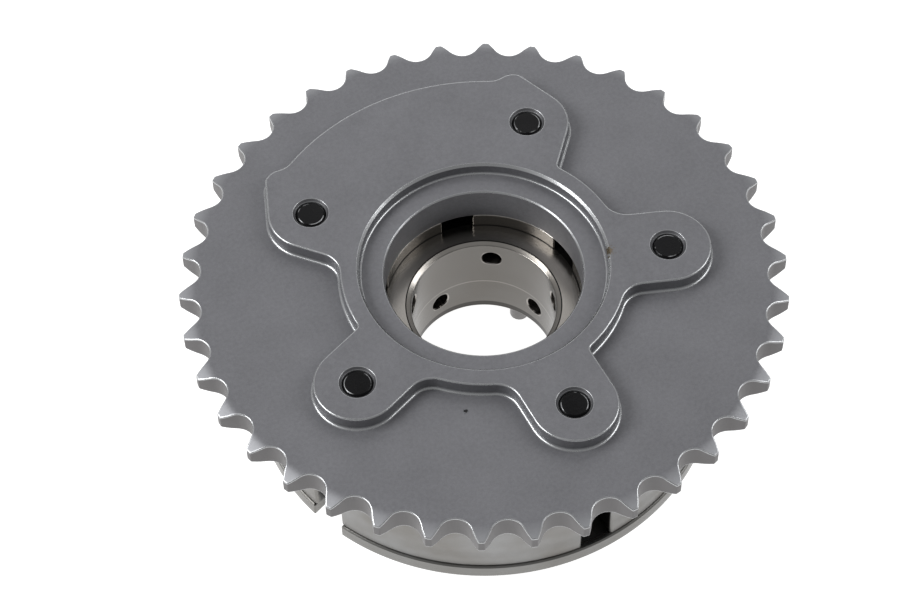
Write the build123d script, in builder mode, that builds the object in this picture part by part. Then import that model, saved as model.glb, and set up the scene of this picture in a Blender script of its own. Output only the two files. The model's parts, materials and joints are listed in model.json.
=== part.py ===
"""Cam phaser with a 38 tooth roller chain sprocket and a five vane rotor.

The axis is Z. The part stands on its five screw heads at Z = 0, front cover down and the
camshaft side up. +Y runs through the middle of the raised sector that covers the lock pin.
All sizes are in millimetres and all angles in degrees.
"""

import os
from math import acos, asin, atan2, cos, degrees, hypot, pi, radians, sin

from build123d import *

# Chain and teeth, the tips' height counted from the pitch circle
chain_pitch = 9.525
roller_diameter = 6.35
tooth_count = 38
tip_height = 0.828
tooth_width = 5.3
tip_land = 1.1
gullet_clearance = 0.05
gullet_half_angle = 62.0
relief_depth = 1.15
relief_reach = 2.8

# Screws and the angle from one to the next
screw_count = 5
screw_spacing = 69.0
screw_diameter = 6.0
screw_head_diameter = 10.0
screw_head_height = 4.0
screw_end_chamfer = 0.5
screw_end_recess = 0.35
hex_socket = 4.0
hex_socket_depth = 2.3
screw_hole_clearance = 0.2

# Raised plateau on the camshaft side of the sprocket
plateau_height = 3.1
plateau_ring_width = 3.7
lobe_radius = 8.3
sector_rise = 1.2
pad_rise = 2.1
pad_turn = 2.77
pad_step_turn = 3.0
facet_turn = 26.4
valley_fillet = 4.8
tight_valley_fillet = 1.2
pad_foot_fillet = 4.5
pad_shoulder_fillet = 3.5
pad_corner_fillet = 2.2
plateau_edge = 0.25
plateau_foot_bevel = 0.4
tapped_hole_edge = 0.5

# Sprocket bore
counterbore_width = 4.7
counterbore_depth = 2.65
counterbore_edge = 0.45
camshaft_bore_clearance = 0.04
bore_edge = 0.25
hub_boss_height = 1.75

# Stator, the housing with the five webs
stator_wall = 4.5
stator_height = 25.1
chamber_depth = 15.5
chamber_fillet = 1.2
web_width = 13.0
web_pocket_width = 6.2
web_pocket_depth = 5.4
web_pocket_edge = 0.4
screw_hole_wall = 1.8
web_corner = 1.0
stator_edge = 0.3

# Front cover
cover_overhang = 0.5
cover_thickness = 3.2
cover_lap = 4.0
cover_edge = 0.3
cover_notch_width = 7.0
cover_notch_depth = 4.0
cover_notch_index = 1

# Rotor
travel_angle = 24.0
rotor_bore_radius = 14.2
axial_clearance = 0.03
vane_tip_clearance = 0.15
vane_root_width = 6.5
vane_tip_width = 9.0
stop_clearance = 0.1
lock_vane_corner = 1.8
seat_width = 4.86
seat_depth = 3.3
seat_chamfer_width = 1.0
seat_chamfer_depth = 0.45
bore_foot_chamfer = 0.9
notch_count = 5
notch_width = 6.3
notch_length = 3.94
hub_wall = 3.0

# Oil holes from the rotor bore into the chambers
oil_hole_diameter = 3.8
upper_row_drop = 7.8
lower_row_rise = 6.35
oil_hole_turn = 14.8
lock_oil_hole_turn = 22.3

# Tip seals, with a leaf spring behind each
seal_width = 2.2
seal_height = 3.0
seal_side_clearance = 0.03
seal_tip_clearance = 0.05
seal_end_clearance = 0.05
seal_spring_room = 0.9
leaf_thickness = 0.25
leaf_width = 1.8
leaf_end_gap = 1.2
leaf_seat_gap = 0.02

# Lock pin
lock_pin_diameter = 8.0
lock_pin_nose_diameter = 6.0
lock_pin_back_room = 5.72
lock_bore_lip = 1.2
lock_bore_wall = 1.42
lock_pin_reach = 3.5
lock_pin_hollow_diameter = 5.8
lock_pin_crown = 3.0
lock_pin_edge = 0.4
lock_pin_fit = 0.03
lock_pin_shoulder_gap = 0.02
lock_track_clearance = 0.05
lock_track_end_room = 0.3
lock_track_depth_room = 0.3
lock_cap_thickness = 2.0
lock_cap_recess = 0.1
spring_wire = 0.7
spring_diameter = 5.2
spring_turns = 5.0
wire_sides = 6
spring_seat_gap = 0.02

# Dowel in the rotor's front face, thicker in its hole than at its free end
dowel_diameter = 3.9
dowel_seat_diameter = 4.5
dowel_offset = 4.7
dowel_turn = -38.8
dowel_depth = 5.8
dowel_end_height = 0.5
dowel_edge = 0.3

# Heights above the floor
cover_bottom = screw_head_height
stator_bottom = cover_bottom + cover_thickness
stator_top = stator_bottom + stator_height
plate_bottom = stator_top + hub_boss_height
plate_top = plate_bottom + tooth_width
plateau_top = plate_top + plateau_height
rotor_bottom = stator_bottom + axial_clearance
rotor_top = stator_top - axial_clearance
rotor_height = rotor_top - rotor_bottom
seat_level = rotor_top - seat_depth
upper_row = rotor_top - upper_row_drop
lower_row = rotor_bottom + lower_row_rise
screw_end = plateau_top - screw_end_recess
cap_bottom = rotor_bottom + lock_cap_recess
cap_top = cap_bottom + lock_cap_thickness
lip_level = rotor_top - lock_bore_lip
shoulder_level = lip_level - lock_pin_shoulder_gap
nose_end = stator_top + lock_pin_reach
pin_bottom = cap_top + lock_pin_back_room
hollow_end = shoulder_level - lock_pin_crown

# Radii that follow, from the rotor's bore outwards
seat_radius = rotor_bore_radius + seat_width
notch_floor_radius = seat_radius + notch_length
hub_radius = notch_floor_radius + hub_wall
chamber_radius = hub_radius + chamber_depth
stator_radius = chamber_radius + stator_wall
cover_radius = stator_radius + cover_overhang
cover_bore_radius = hub_radius - cover_lap
camshaft_bore_radius = seat_radius + camshaft_bore_clearance
counterbore_radius = camshaft_bore_radius + counterbore_width
plateau_ring_radius = counterbore_radius + plateau_ring_width
screw_hole_radius = screw_diameter / 2 + screw_hole_clearance
pocket_floor_radius = stator_radius - web_pocket_depth
screw_circle_radius = pocket_floor_radius - screw_hole_wall - screw_hole_radius
sector_radius = screw_circle_radius + lobe_radius + sector_rise
pad_radius = sector_radius + pad_rise
pitch_radius = chain_pitch / (2 * sin(pi / tooth_count))
tip_radius = pitch_radius + tip_height
gullet_radius = roller_diameter / 2 + gullet_clearance
vane_tip_radius = chamber_radius - vane_tip_clearance
web_inner_radius = hub_radius + vane_tip_clearance
seal_slot_width = seal_width + 2 * seal_side_clearance
seal_slot_depth = seal_height + seal_spring_room
vane_seal_floor = vane_tip_radius - seal_slot_depth
web_seal_floor = web_inner_radius + seal_slot_depth
lock_bore_radius = lock_pin_diameter / 2 + lock_pin_fit
lock_pin_circle_radius = vane_seal_floor - lock_bore_wall - lock_bore_radius
dowel_circle_radius = rotor_bore_radius + dowel_offset

# Angles that follow
lock_gap = 360 - (screw_count - 1) * screw_spacing
first_screw = 90 + lock_gap / 2
screw_angles = [first_screw + screw_spacing * number for number in range(screw_count)]
rest_turn = -travel_angle / 2
lock_vane_angle = 90 + rest_turn
narrow_vane_angles = [angle + screw_spacing / 2 + rest_turn for angle in screw_angles[:-1]]
vane_angles = [lock_vane_angle] + narrow_vane_angles


def polar(radius, angle):
    """Point in the XY plane at a radius and an angle from +X."""
    return radius * cos(radians(angle)), radius * sin(radians(angle))


def radial_plane(angle):
    """Plane through the axis whose X points outwards at the angle and whose Y is up."""
    outwards = (*polar(1, angle), 0)
    return Plane(origin=(0, 0, 0), x_dir=outwards, z_dir=(outwards[1], -outwards[0], 0))


def turned(angle):
    """Location on the axis, turned about it, so that local +X points at the angle."""
    return Location((0, 0, 0), (0, 0, angle))


def corners_at(sketch, radius, angle):
    """The sketch's corner that lies nearest to a polar point."""
    return sketch.vertices().sort_by_distance((*polar(radius, angle), 0))[:1]


def both_sides(angles, turn):
    """Each angle less and plus a turn."""
    return [angle + side * turn for angle in angles for side in (-1, 1)]


def upright_edges(builder, radius, angles):
    """The part's vertical edges that pass nearest to the polar points."""
    edges = builder.edges().filter_by(Axis.Z)
    places = [Vector(*polar(radius, angle)) for angle in angles]
    return [min(edges, key=lambda edge: plan_distance(edge, place)) for place in places]


def plan_distance(edge, place):
    """Distance from a vertical edge to a point of the XY plane, seen from above."""
    return hypot(edge.position_at(0).X - place.X, edge.position_at(0).Y - place.Y)


def has_radius(radius):
    """Filter for round edges of a radius."""
    return lambda edge: abs(edge.radius - radius) < 1e-3


def within(radius):
    """Filter for edges whose middle lies inside a radius."""
    return lambda edge: hypot(edge.position_at(0.5).X, edge.position_at(0.5).Y) < radius


def write_piece(builder, name):
    """Label a finished piece and write it as a STEP file."""
    builder.part.label = name
    export_step(builder.part, f"parts/{name}.step")


os.makedirs("parts", exist_ok=True)
lock_place = polar(lock_pin_circle_radius, lock_vane_angle)
dowel_place = polar(dowel_circle_radius, lock_vane_angle + dowel_turn)

# One space between two teeth: a gullet arc that runs tangent into two convex flanks
half_space = 180 / tooth_count - degrees(tip_land / 2 / tip_radius)
gullet_end = (
    pitch_radius - gullet_radius * cos(radians(gullet_half_angle)),
    gullet_radius * sin(radians(gullet_half_angle)),
)
flank_direction = (sin(radians(gullet_half_angle)), cos(radians(gullet_half_angle)))
flank_end = polar(tip_radius, half_space)
with BuildSketch() as tooth_space:
    with BuildLine():
        RadiusArc(gullet_end, (gullet_end[0], -gullet_end[1]), -gullet_radius)
        for side in (1, -1):
            foot = (gullet_end[0], side * gullet_end[1])
            top = (flank_end[0], side * flank_end[1])
            beyond = (tip_radius + relief_depth, side * flank_end[1])
            TangentArc(foot, top, tangent=(flank_direction[0], side * flank_direction[1]))
            Line(top, beyond)
        Line((beyond[0], flank_end[1]), (beyond[0], -flank_end[1]))
    make_face()

# Right half of the pad round a screw beside the sector: a step up from the sector's rim,
# a corner, and a flat facet that runs tangent into the lobe. The pad's arc and the step are
# angles that follow on from the corner.
pad_screw = polar(screw_circle_radius, 90 - lock_gap / 2)
facet_normal = polar(1, 90 - lock_gap / 2 - facet_turn)
facet_foot = (
    pad_screw[0] + lobe_radius * facet_normal[0],
    pad_screw[1] + lobe_radius * facet_normal[1],
)
facet_offset = facet_foot[0] * facet_normal[0] + facet_foot[1] * facet_normal[1]
facet_angle = degrees(atan2(facet_normal[1], facet_normal[0]))
pad_corner_angle = facet_angle + degrees(acos(facet_offset / pad_radius))
pad_shoulder_angle = pad_corner_angle + pad_turn
pad_foot_angle = pad_shoulder_angle + pad_step_turn
with BuildSketch() as sector:
    with BuildLine():
        Line((0, 0), pad_screw)
        Line(pad_screw, facet_foot)
        Line(facet_foot, polar(pad_radius, pad_corner_angle))
        ThreePointArc(
            polar(pad_radius, pad_corner_angle),
            polar(pad_radius, (pad_corner_angle + pad_shoulder_angle) / 2),
            polar(pad_radius, pad_shoulder_angle),
        )
        Line(polar(pad_radius, pad_shoulder_angle), polar(sector_radius, pad_foot_angle))
        ThreePointArc(
            polar(sector_radius, pad_foot_angle),
            polar(sector_radius, (pad_foot_angle + 90) / 2),
            (0, sector_radius),
        )
        Line((0, sector_radius), (0, 0))
    make_face()
    mirror(about=Plane.YZ)

# Sprocket
valley_turn = degrees(asin(lobe_radius / plateau_ring_radius))
with BuildPart() as sprocket:
    with BuildSketch(Plane.XY.offset(plate_bottom)):
        Circle(tip_radius)
        with PolarLocations(0, tooth_count, start_angle=90 - 180 / tooth_count):
            add(tooth_space.sketch, mode=Mode.SUBTRACT)
    extrude(amount=tooth_width)
    with BuildSketch(Plane.XZ):
        with BuildLine():
            Polyline(
                (tip_radius - relief_reach, plate_top),
                (tip_radius + relief_reach, plate_top - 2 * relief_depth),
                (tip_radius + relief_reach, plate_top),
                close=True,
            )
        make_face()
        mirror(about=Plane.XZ.offset(-(plate_top + plate_bottom) / 2))
    revolve(axis=Axis.Z, mode=Mode.SUBTRACT)
    with BuildSketch(Plane.XY.offset(stator_top)):
        Circle(stator_radius)
    extrude(amount=hub_boss_height)
    with BuildSketch(Plane.XY.offset(plate_top)) as plateau:
        Circle(plateau_ring_radius)
        for angle in screw_angles:
            with Locations(turned(angle)):
                Rectangle(
                    screw_circle_radius, 2 * lobe_radius, align=(Align.MIN, Align.CENTER)
                )
            with Locations(polar(screw_circle_radius, angle)):
                Circle(lobe_radius)
        add(sector.sketch)
        for side in (1, -1):
            foot = 90 + side * (90 - pad_foot_angle)
            shoulder = 90 + side * (90 - pad_shoulder_angle)
            corner = 90 + side * (90 - pad_corner_angle)
            fillet(corners_at(plateau, sector_radius, foot), pad_foot_fillet)
            fillet(corners_at(plateau, pad_radius, shoulder), pad_shoulder_fillet)
            fillet(corners_at(plateau, pad_radius, corner), pad_corner_fillet)
        open_sides = [(screw_angles[0], 1), (screw_angles[-1], -1)]
        open_sides += [(angle, side) for angle in screw_angles[1:-1] for side in (1, -1)]
        tight_sides = [(screw_angles[1], -1), (screw_angles[2], 1), (screw_angles[-1], -1)]
        for angle, side in open_sides:
            radius = tight_valley_fillet if (angle, side) in tight_sides else valley_fillet
            valley = corners_at(plateau, plateau_ring_radius, angle + side * valley_turn)
            fillet(valley, radius)
    extrude(amount=plateau_height)
    rim = sprocket.faces().sort_by(Axis.Z)[-1].edges()
    chamfer(rim, plateau_edge)
    foot_level = sprocket.edges().filter_by_position(Axis.Z, plate_top, plate_top)
    chamfer(foot_level.filter_by(within(pad_radius + plateau_edge)), plateau_foot_bevel)
    with BuildSketch(Plane.XY.offset(plateau_top)):
        Circle(counterbore_radius)
    extrude(amount=-counterbore_depth, mode=Mode.SUBTRACT)
    with BuildSketch(Plane.XY.offset(stator_top)):
        Circle(camshaft_bore_radius)
        for angle in screw_angles:
            with Locations(polar(screw_circle_radius, angle)):
                Circle(screw_diameter / 2)
    extrude(amount=plateau_top - stator_top, mode=Mode.SUBTRACT)
    with BuildSketch(Plane.XY.offset(stator_top)):
        SlotArc(
            CenterArc(
                (0, 0),
                lock_pin_circle_radius,
                lock_vane_angle - lock_track_end_room,
                travel_angle + 2 * lock_track_end_room,
            ),
            lock_pin_nose_diameter + 2 * lock_track_clearance,
        )
    extrude(amount=lock_pin_reach + lock_track_depth_room, mode=Mode.SUBTRACT)
    round_edges = sprocket.edges().filter_by(GeomType.CIRCLE)
    top_circles = round_edges.filter_by_position(Axis.Z, plateau_top, plateau_top)
    floor_level = plateau_top - counterbore_depth
    floor_circles = round_edges.filter_by_position(Axis.Z, floor_level, floor_level)
    chamfer(top_circles.filter_by(has_radius(counterbore_radius)), counterbore_edge)
    chamfer(floor_circles.filter_by(has_radius(camshaft_bore_radius)), bore_edge)
    chamfer(top_circles.filter_by(has_radius(screw_diameter / 2)), tapped_hole_edge)
write_piece(sprocket, "sprocket")

# Stator: a ring with a web round each screw, pockets outside the webs and a seal slot
# inside each
with BuildPart() as stator:
    with BuildSketch(Plane.XY.offset(stator_bottom)):
        Circle(stator_radius)
        Circle(chamber_radius, mode=Mode.SUBTRACT)
        for angle in screw_angles:
            with Locations(turned(angle)):
                Rectangle(
                    (stator_radius + chamber_radius) / 2,
                    web_width,
                    align=(Align.MIN, Align.CENTER),
                )
        Circle(web_inner_radius, mode=Mode.SUBTRACT)
        for angle in screw_angles:
            with Locations(polar(screw_circle_radius, angle)):
                Circle(screw_hole_radius, mode=Mode.SUBTRACT)
            with Locations(turned(angle) * Pos(pocket_floor_radius)):
                Rectangle(
                    2 * web_pocket_depth,
                    web_pocket_width,
                    align=(Align.MIN, Align.CENTER),
                    mode=Mode.SUBTRACT,
                )
            with Locations(turned(angle) * Pos(web_seal_floor)):
                Rectangle(
                    2 * seal_slot_depth,
                    seal_slot_width,
                    align=(Align.MAX, Align.CENTER),
                    mode=Mode.SUBTRACT,
                )
    extrude(amount=stator_height)
    tip_turn = degrees(asin(web_width / 2 / web_inner_radius))
    wall_turn = degrees(asin(web_width / 2 / chamber_radius))
    mouth_turn = degrees(asin(web_pocket_width / 2 / stator_radius))
    chamfer(upright_edges(stator, web_inner_radius, both_sides(screw_angles, tip_turn)), web_corner)
    fillet(upright_edges(stator, chamber_radius, both_sides(screw_angles, wall_turn)), chamber_fillet)
    chamfer(
        upright_edges(stator, stator_radius, both_sides(screw_angles, mouth_turn)),
        web_pocket_edge,
    )
    rims = stator.edges().filter_by(GeomType.CIRCLE).filter_by(has_radius(stator_radius))
    chamfer(rims.filter_by_position(Axis.Z, stator_bottom, stator_bottom), stator_edge)
write_piece(stator, "stator")

# Front cover, with a notch over one of the web pockets
with BuildPart() as front_cover:
    with BuildSketch(Plane.XY.offset(cover_bottom)):
        Circle(cover_radius)
        Circle(cover_bore_radius, mode=Mode.SUBTRACT)
        for angle in screw_angles:
            with Locations(polar(screw_circle_radius, angle)):
                Circle(screw_hole_radius, mode=Mode.SUBTRACT)
        notch_place = turned(screw_angles[cover_notch_index])
        with Locations(notch_place * Pos(cover_radius - cover_notch_depth)):
            Rectangle(
                2 * cover_notch_depth,
                cover_notch_width,
                align=(Align.MIN, Align.CENTER),
                mode=Mode.SUBTRACT,
            )
    extrude(amount=cover_thickness)
    rims = front_cover.edges().filter_by(GeomType.CIRCLE).filter_by(has_radius(cover_radius))
    chamfer(rims.filter_by_position(Axis.Z, stator_bottom, stator_bottom), cover_edge)
write_piece(front_cover, "front_cover")

# Rotor: hub, four narrow vanes and the wide vane that holds the lock pin. The wide vane's
# sides start inside the hub and lie flat against the webs at both ends of the travel.
stop_turn = lock_gap / 2 - travel_angle / 2
stop_offset = web_width / 2 + stop_clearance
lock_vane_side = [
    (
        reach * cos(radians(stop_turn)) + stop_offset * sin(radians(stop_turn)),
        reach * sin(radians(stop_turn)) - stop_offset * cos(radians(stop_turn)),
    )
    for reach in (notch_floor_radius, stator_radius)
]
with BuildPart() as rotor:
    with BuildSketch(Plane.XY.offset(rotor_bottom)):
        Circle(hub_radius)
        with Locations(turned(lock_vane_angle)):
            Polygon(
                lock_vane_side[0],
                lock_vane_side[1],
                (lock_vane_side[1][0], -lock_vane_side[1][1]),
                (lock_vane_side[0][0], -lock_vane_side[0][1]),
                align=None,
            )
        for angle in narrow_vane_angles:
            with Locations(turned(angle)):
                Polygon(
                    (0, vane_root_width / 2),
                    (hub_radius, vane_root_width / 2),
                    (vane_tip_radius, vane_tip_width / 2),
                    (stator_radius, vane_tip_width / 2),
                    (stator_radius, -vane_tip_width / 2),
                    (vane_tip_radius, -vane_tip_width / 2),
                    (hub_radius, -vane_root_width / 2),
                    (0, -vane_root_width / 2),
                    align=None,
                )
        Circle(vane_tip_radius, mode=Mode.INTERSECT)
        for angle in vane_angles:
            with Locations(turned(angle) * Pos(vane_seal_floor)):
                Rectangle(
                    2 * seal_slot_depth,
                    seal_slot_width,
                    align=(Align.MIN, Align.CENTER),
                    mode=Mode.SUBTRACT,
                )
    extrude(amount=rotor_height)
    tip_turn = stop_turn - degrees(asin(stop_offset / vane_tip_radius))
    chamfer(
        upright_edges(rotor, vane_tip_radius, both_sides([lock_vane_angle], tip_turn)),
        lock_vane_corner,
    )
    with BuildSketch(Plane.XY.offset(rotor_top)):
        Circle(seat_radius)
        with PolarLocations(0, notch_count, start_angle=lock_vane_angle):
            Rectangle(notch_floor_radius, notch_width, align=(Align.MIN, Align.CENTER))
    extrude(amount=-seat_depth, mode=Mode.SUBTRACT)
    with BuildSketch(Plane.XZ):
        with BuildLine():
            Polyline(
                (0, rotor_bottom),
                (rotor_bore_radius + bore_foot_chamfer, rotor_bottom),
                (rotor_bore_radius, rotor_bottom + bore_foot_chamfer),
                (rotor_bore_radius, seat_level - seat_chamfer_depth),
                (rotor_bore_radius + seat_chamfer_width, seat_level),
                (0, seat_level),
                close=True,
            )
        make_face()
    revolve(axis=Axis.Z, mode=Mode.SUBTRACT)
    for angle in vane_angles:
        turn = lock_oil_hole_turn if angle == lock_vane_angle else oil_hole_turn
        for hole_angle, height in ((angle - turn, upper_row), (angle + turn, lower_row)):
            outwards = (*polar(1, hole_angle), 0)
            with BuildSketch(Plane(origin=(0, 0, height), z_dir=outwards)):
                Circle(oil_hole_diameter / 2)
            extrude(amount=hub_radius + oil_hole_diameter / 2, mode=Mode.SUBTRACT)
    with BuildSketch(Plane.XY.offset(rotor_bottom)):
        with Locations(dowel_place):
            Circle(dowel_seat_diameter / 2)
    extrude(amount=dowel_depth, mode=Mode.SUBTRACT)
    with BuildSketch(Plane.XY.offset(rotor_bottom)):
        with Locations(lock_place):
            Circle(lock_bore_radius)
    extrude(amount=lip_level - rotor_bottom, mode=Mode.SUBTRACT)
    with BuildSketch(Plane.XY.offset(lip_level)):
        with Locations(lock_place):
            Circle(lock_pin_nose_diameter / 2 + lock_pin_fit)
    extrude(amount=lock_bore_lip, mode=Mode.SUBTRACT)
write_piece(rotor, "rotor")

# Lock pin: a hollow plunger with a nose that stands in the sprocket's track
with BuildPart() as lock_pin:
    with BuildSketch(Plane.XY.offset(pin_bottom)):
        with Locations(lock_place):
            Circle(lock_pin_diameter / 2)
    extrude(amount=shoulder_level - pin_bottom)
    with BuildSketch(Plane.XY.offset(shoulder_level)):
        with Locations(lock_place):
            Circle(lock_pin_nose_diameter / 2)
    extrude(amount=nose_end - shoulder_level)
    chamfer(lock_pin.edges().sort_by(Axis.Z)[-1], lock_pin_edge)
    with BuildSketch(Plane.XY.offset(pin_bottom)):
        with Locations(lock_place):
            Circle(lock_pin_hollow_diameter / 2)
    extrude(amount=hollow_end - pin_bottom, mode=Mode.SUBTRACT)
write_piece(lock_pin, "lock_pin")

with BuildPart() as lock_pin_cap:
    with BuildSketch(Plane.XY.offset(cap_bottom)):
        with Locations(lock_place):
            Circle(lock_bore_radius)
    extrude(amount=lock_cap_thickness)
write_piece(lock_pin_cap, "lock_pin_cap")

# Compression spring between the cap and the end of the pin's hollow, its wire six-sided
coil_radius = (spring_diameter - spring_wire) / 2
coil_bottom = cap_top + spring_seat_gap + spring_wire / 2
coil_height = hollow_end - spring_seat_gap - spring_wire / 2 - coil_bottom
with BuildPart() as lock_pin_spring:
    with BuildLine() as coil:
        Helix(
            pitch=coil_height / spring_turns,
            height=coil_height,
            radius=coil_radius,
            center=(*lock_place, coil_bottom),
        )
    with BuildSketch(coil.line ^ 0):
        RegularPolygon(spring_wire / 2, wire_sides)
    sweep()
write_piece(lock_pin_spring, "lock_pin_spring")

with BuildPart() as rotor_dowel:
    with BuildSketch(Plane.XY.offset(dowel_end_height)):
        with Locations(dowel_place):
            Circle(dowel_diameter / 2)
    extrude(amount=rotor_bottom - dowel_end_height)
    chamfer(rotor_dowel.edges().sort_by(Axis.Z)[0], dowel_edge)
    with BuildSketch(Plane.XY.offset(rotor_bottom)):
        with Locations(dowel_place):
            Circle(dowel_seat_diameter / 2)
    extrude(amount=dowel_depth)
write_piece(rotor_dowel, "rotor_dowel")


def seal_strip(name, angle, inner_radius):
    """Seal strip with its outer or inner face curved to run on the bore or the hub."""
    outer_radius = inner_radius + seal_height
    half_width = seal_width / 2
    with BuildPart() as strip:
        with BuildSketch(Plane.XY.offset(stator_bottom + seal_end_clearance)):
            with Locations(turned(angle)):
                Rectangle(outer_radius, seal_width, align=(Align.MIN, Align.CENTER))
            Circle(outer_radius, mode=Mode.INTERSECT)
            Circle(inner_radius, mode=Mode.SUBTRACT)
        extrude(amount=stator_height - 2 * seal_end_clearance)
    write_piece(strip, name)


def leaf_spring(name, angle, floor_radius, back_radius):
    """Thin bowed strip that bears on the slot's floor at its ends and on the seal midway."""
    way = 1 if back_radius > floor_radius else -1
    foot = floor_radius + way * leaf_seat_gap
    crown = back_radius - way * (leaf_seat_gap + leaf_thickness)
    low = stator_bottom + leaf_end_gap
    high = stator_top - leaf_end_gap
    middle = (low + high) / 2
    with BuildPart() as leaf:
        with BuildSketch(radial_plane(angle)):
            with BuildLine():
                ThreePointArc((foot, low), (crown, middle), (foot, high))
                Line((foot, high), (foot + way * leaf_thickness, high))
                ThreePointArc(
                    (foot + way * leaf_thickness, high),
                    (crown + way * leaf_thickness, middle),
                    (foot + way * leaf_thickness, low),
                )
                Line((foot + way * leaf_thickness, low), (foot, low))
            make_face()
        extrude(amount=leaf_width / 2, both=True)
    write_piece(leaf, name)


vane_seal_back = chamber_radius - seal_tip_clearance - seal_height
web_seal_face = hub_radius + seal_tip_clearance
for number, angle in enumerate(vane_angles, 1):
    seal_strip(f"vane_seal_{number}", angle, vane_seal_back)
    leaf_spring(f"vane_seal_spring_{number}", angle, vane_seal_floor, vane_seal_back)
for number, angle in enumerate(screw_angles, 1):
    seal_strip(f"web_seal_{number}", angle, web_seal_face)
    leaf_spring(f"web_seal_spring_{number}", angle, web_seal_floor, web_seal_face + seal_height)

# Cover screws: low heads with a hexagon socket under the cover, threaded ends in the plateau
for number, angle in enumerate(screw_angles, 1):
    place = polar(screw_circle_radius, angle)
    with BuildPart() as cover_screw:
        with BuildSketch():
            with Locations(place):
                Circle(screw_head_diameter / 2)
        extrude(amount=screw_head_height)
        with BuildSketch(Plane.XY.offset(screw_head_height)):
            with Locations(place):
                Circle(screw_diameter / 2)
        extrude(amount=screw_end - screw_head_height)
        chamfer(cover_screw.edges().sort_by(Axis.Z)[-1], screw_end_chamfer)
        with BuildSketch():
            with Locations(place):
                RegularPolygon(hex_socket / 2, 6, major_radius=False)
        extrude(amount=hex_socket_depth, mode=Mode.SUBTRACT)
    write_piece(cover_screw, f"cover_screw_{number}")
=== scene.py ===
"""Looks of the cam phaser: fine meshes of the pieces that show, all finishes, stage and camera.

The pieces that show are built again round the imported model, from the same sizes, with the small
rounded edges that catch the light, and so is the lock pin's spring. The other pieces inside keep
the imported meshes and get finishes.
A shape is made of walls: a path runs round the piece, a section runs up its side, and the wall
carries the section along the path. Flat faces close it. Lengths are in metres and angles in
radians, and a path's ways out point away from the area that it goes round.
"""

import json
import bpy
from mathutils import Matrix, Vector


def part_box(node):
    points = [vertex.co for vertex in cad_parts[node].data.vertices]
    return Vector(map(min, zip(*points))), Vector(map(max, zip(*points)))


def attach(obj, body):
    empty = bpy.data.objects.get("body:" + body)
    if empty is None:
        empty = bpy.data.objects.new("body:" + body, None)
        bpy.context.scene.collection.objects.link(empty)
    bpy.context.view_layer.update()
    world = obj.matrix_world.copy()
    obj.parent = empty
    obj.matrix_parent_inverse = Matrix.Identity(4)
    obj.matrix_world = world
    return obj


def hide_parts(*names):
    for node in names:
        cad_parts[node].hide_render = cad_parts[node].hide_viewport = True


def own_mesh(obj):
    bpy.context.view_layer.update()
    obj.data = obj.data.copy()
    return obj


bl_info = {
    "name": "Cam Phaser",
    "version": (1, 0, 0),
    "blender": (4, 5, 0),
    "location": "3D View > Sidebar > Cam Phaser",
    "description": "Builds the looks of a cam phaser round its packed model",
    "category": "Object",
}

import bmesh
import bpy
import numpy as np
from mathutils import Matrix, Vector
from mathutils.geometry import tessellate_polygon

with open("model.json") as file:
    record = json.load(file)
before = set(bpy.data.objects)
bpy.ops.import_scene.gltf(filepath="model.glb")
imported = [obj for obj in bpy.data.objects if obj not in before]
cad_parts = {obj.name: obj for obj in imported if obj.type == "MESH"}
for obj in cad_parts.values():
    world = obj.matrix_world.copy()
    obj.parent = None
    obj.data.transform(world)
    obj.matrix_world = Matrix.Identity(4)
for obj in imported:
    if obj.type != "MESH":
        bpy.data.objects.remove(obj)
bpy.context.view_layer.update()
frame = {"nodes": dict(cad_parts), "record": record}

MM = 0.001
SCREWS = [f"cover_screw_{number}" for number in range(1, 6)]

# Ways along and across a feature that points along +X
AHEAD = np.array([1.0, 0.0])
ASIDE = np.array([0.0, 1.0])

# How finely an arc is divided
LARGEST_TURN = np.radians(8)
SHORTEST_STEP = 0.1 * MM
LONGEST_STEP = 0.9 * MM

# Distance of the points beside an arc that keep flats flat in shading, and the cosine from which
# a stretch between two ways out is straight
SUPPORT = 0.06 * MM
STRAIGHT = 0.99999

# Turn left free where two arcs meet, and how many times a corner's reach a path keeps from it
JOIN_TURN = 0.002
CORNER_ROOM = 1.2

# Points round the bores, the cover's opening, a screw, a screw hole and the dowel
BORE_POINTS = 240
COVER_POINTS = 200
SCREW_POINTS = 72
HOLE_POINTS = 64
DOWEL_POINTS = 48

# Rows of a wall's points across its oil holes, and rows between such a wall and a hole's rim
HOLE_ROWS = 13
PATCH_ROWS = 4

# Points along a turn of the spring and round its wire
COIL_POINTS = 32
WIRE_POINTS = 12

# Where the rows of points lie across the blend of the teeth's relief, in shares of its reach
RELIEF_ROWS = np.array([1.4, 1, 0.5, 0, -0.5, -1, -1.4])

# Distance within which points are merged, and angle from which an edge shades sharp
MERGE_DISTANCE = 0.002 * MM
SHARP_ANGLE = np.radians(40)


def length(default, name, description):
    """Property for a length, given in millimetres."""
    return bpy.props.FloatProperty(
        name=name, description=description, default=default * MM, precision=5, unit="LENGTH"
    )


def turn(default, name, description):
    """Property for an angle, given in degrees."""
    return bpy.props.FloatProperty(
        name=name, description=description, default=np.radians(default), unit="ROTATION"
    )


def colour(default, name, description):
    """Property for a linear colour."""
    return bpy.props.FloatVectorProperty(
        name=name, description=description, default=default, size=3, subtype="COLOR",
        min=0, max=1,
    )


def amount(default, name, description):
    """Property for a plain factor."""
    return bpy.props.FloatProperty(name=name, description=description, default=default)


def power(default, name, description):
    """Property for a lamp's power, given in watts."""
    return bpy.props.FloatProperty(
        name=name, description=description, default=default, unit="POWER"
    )


def spot(default, name, description):
    """Property for a place seen from above, given in millimetres."""
    return bpy.props.FloatVectorProperty(
        name=name, description=description, default=[value * MM for value in default], size=2,
        precision=5, unit="LENGTH",
    )


def count(default, name, description):
    """Property for a number of like things."""
    return bpy.props.IntProperty(name=name, description=description, default=default)


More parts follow.
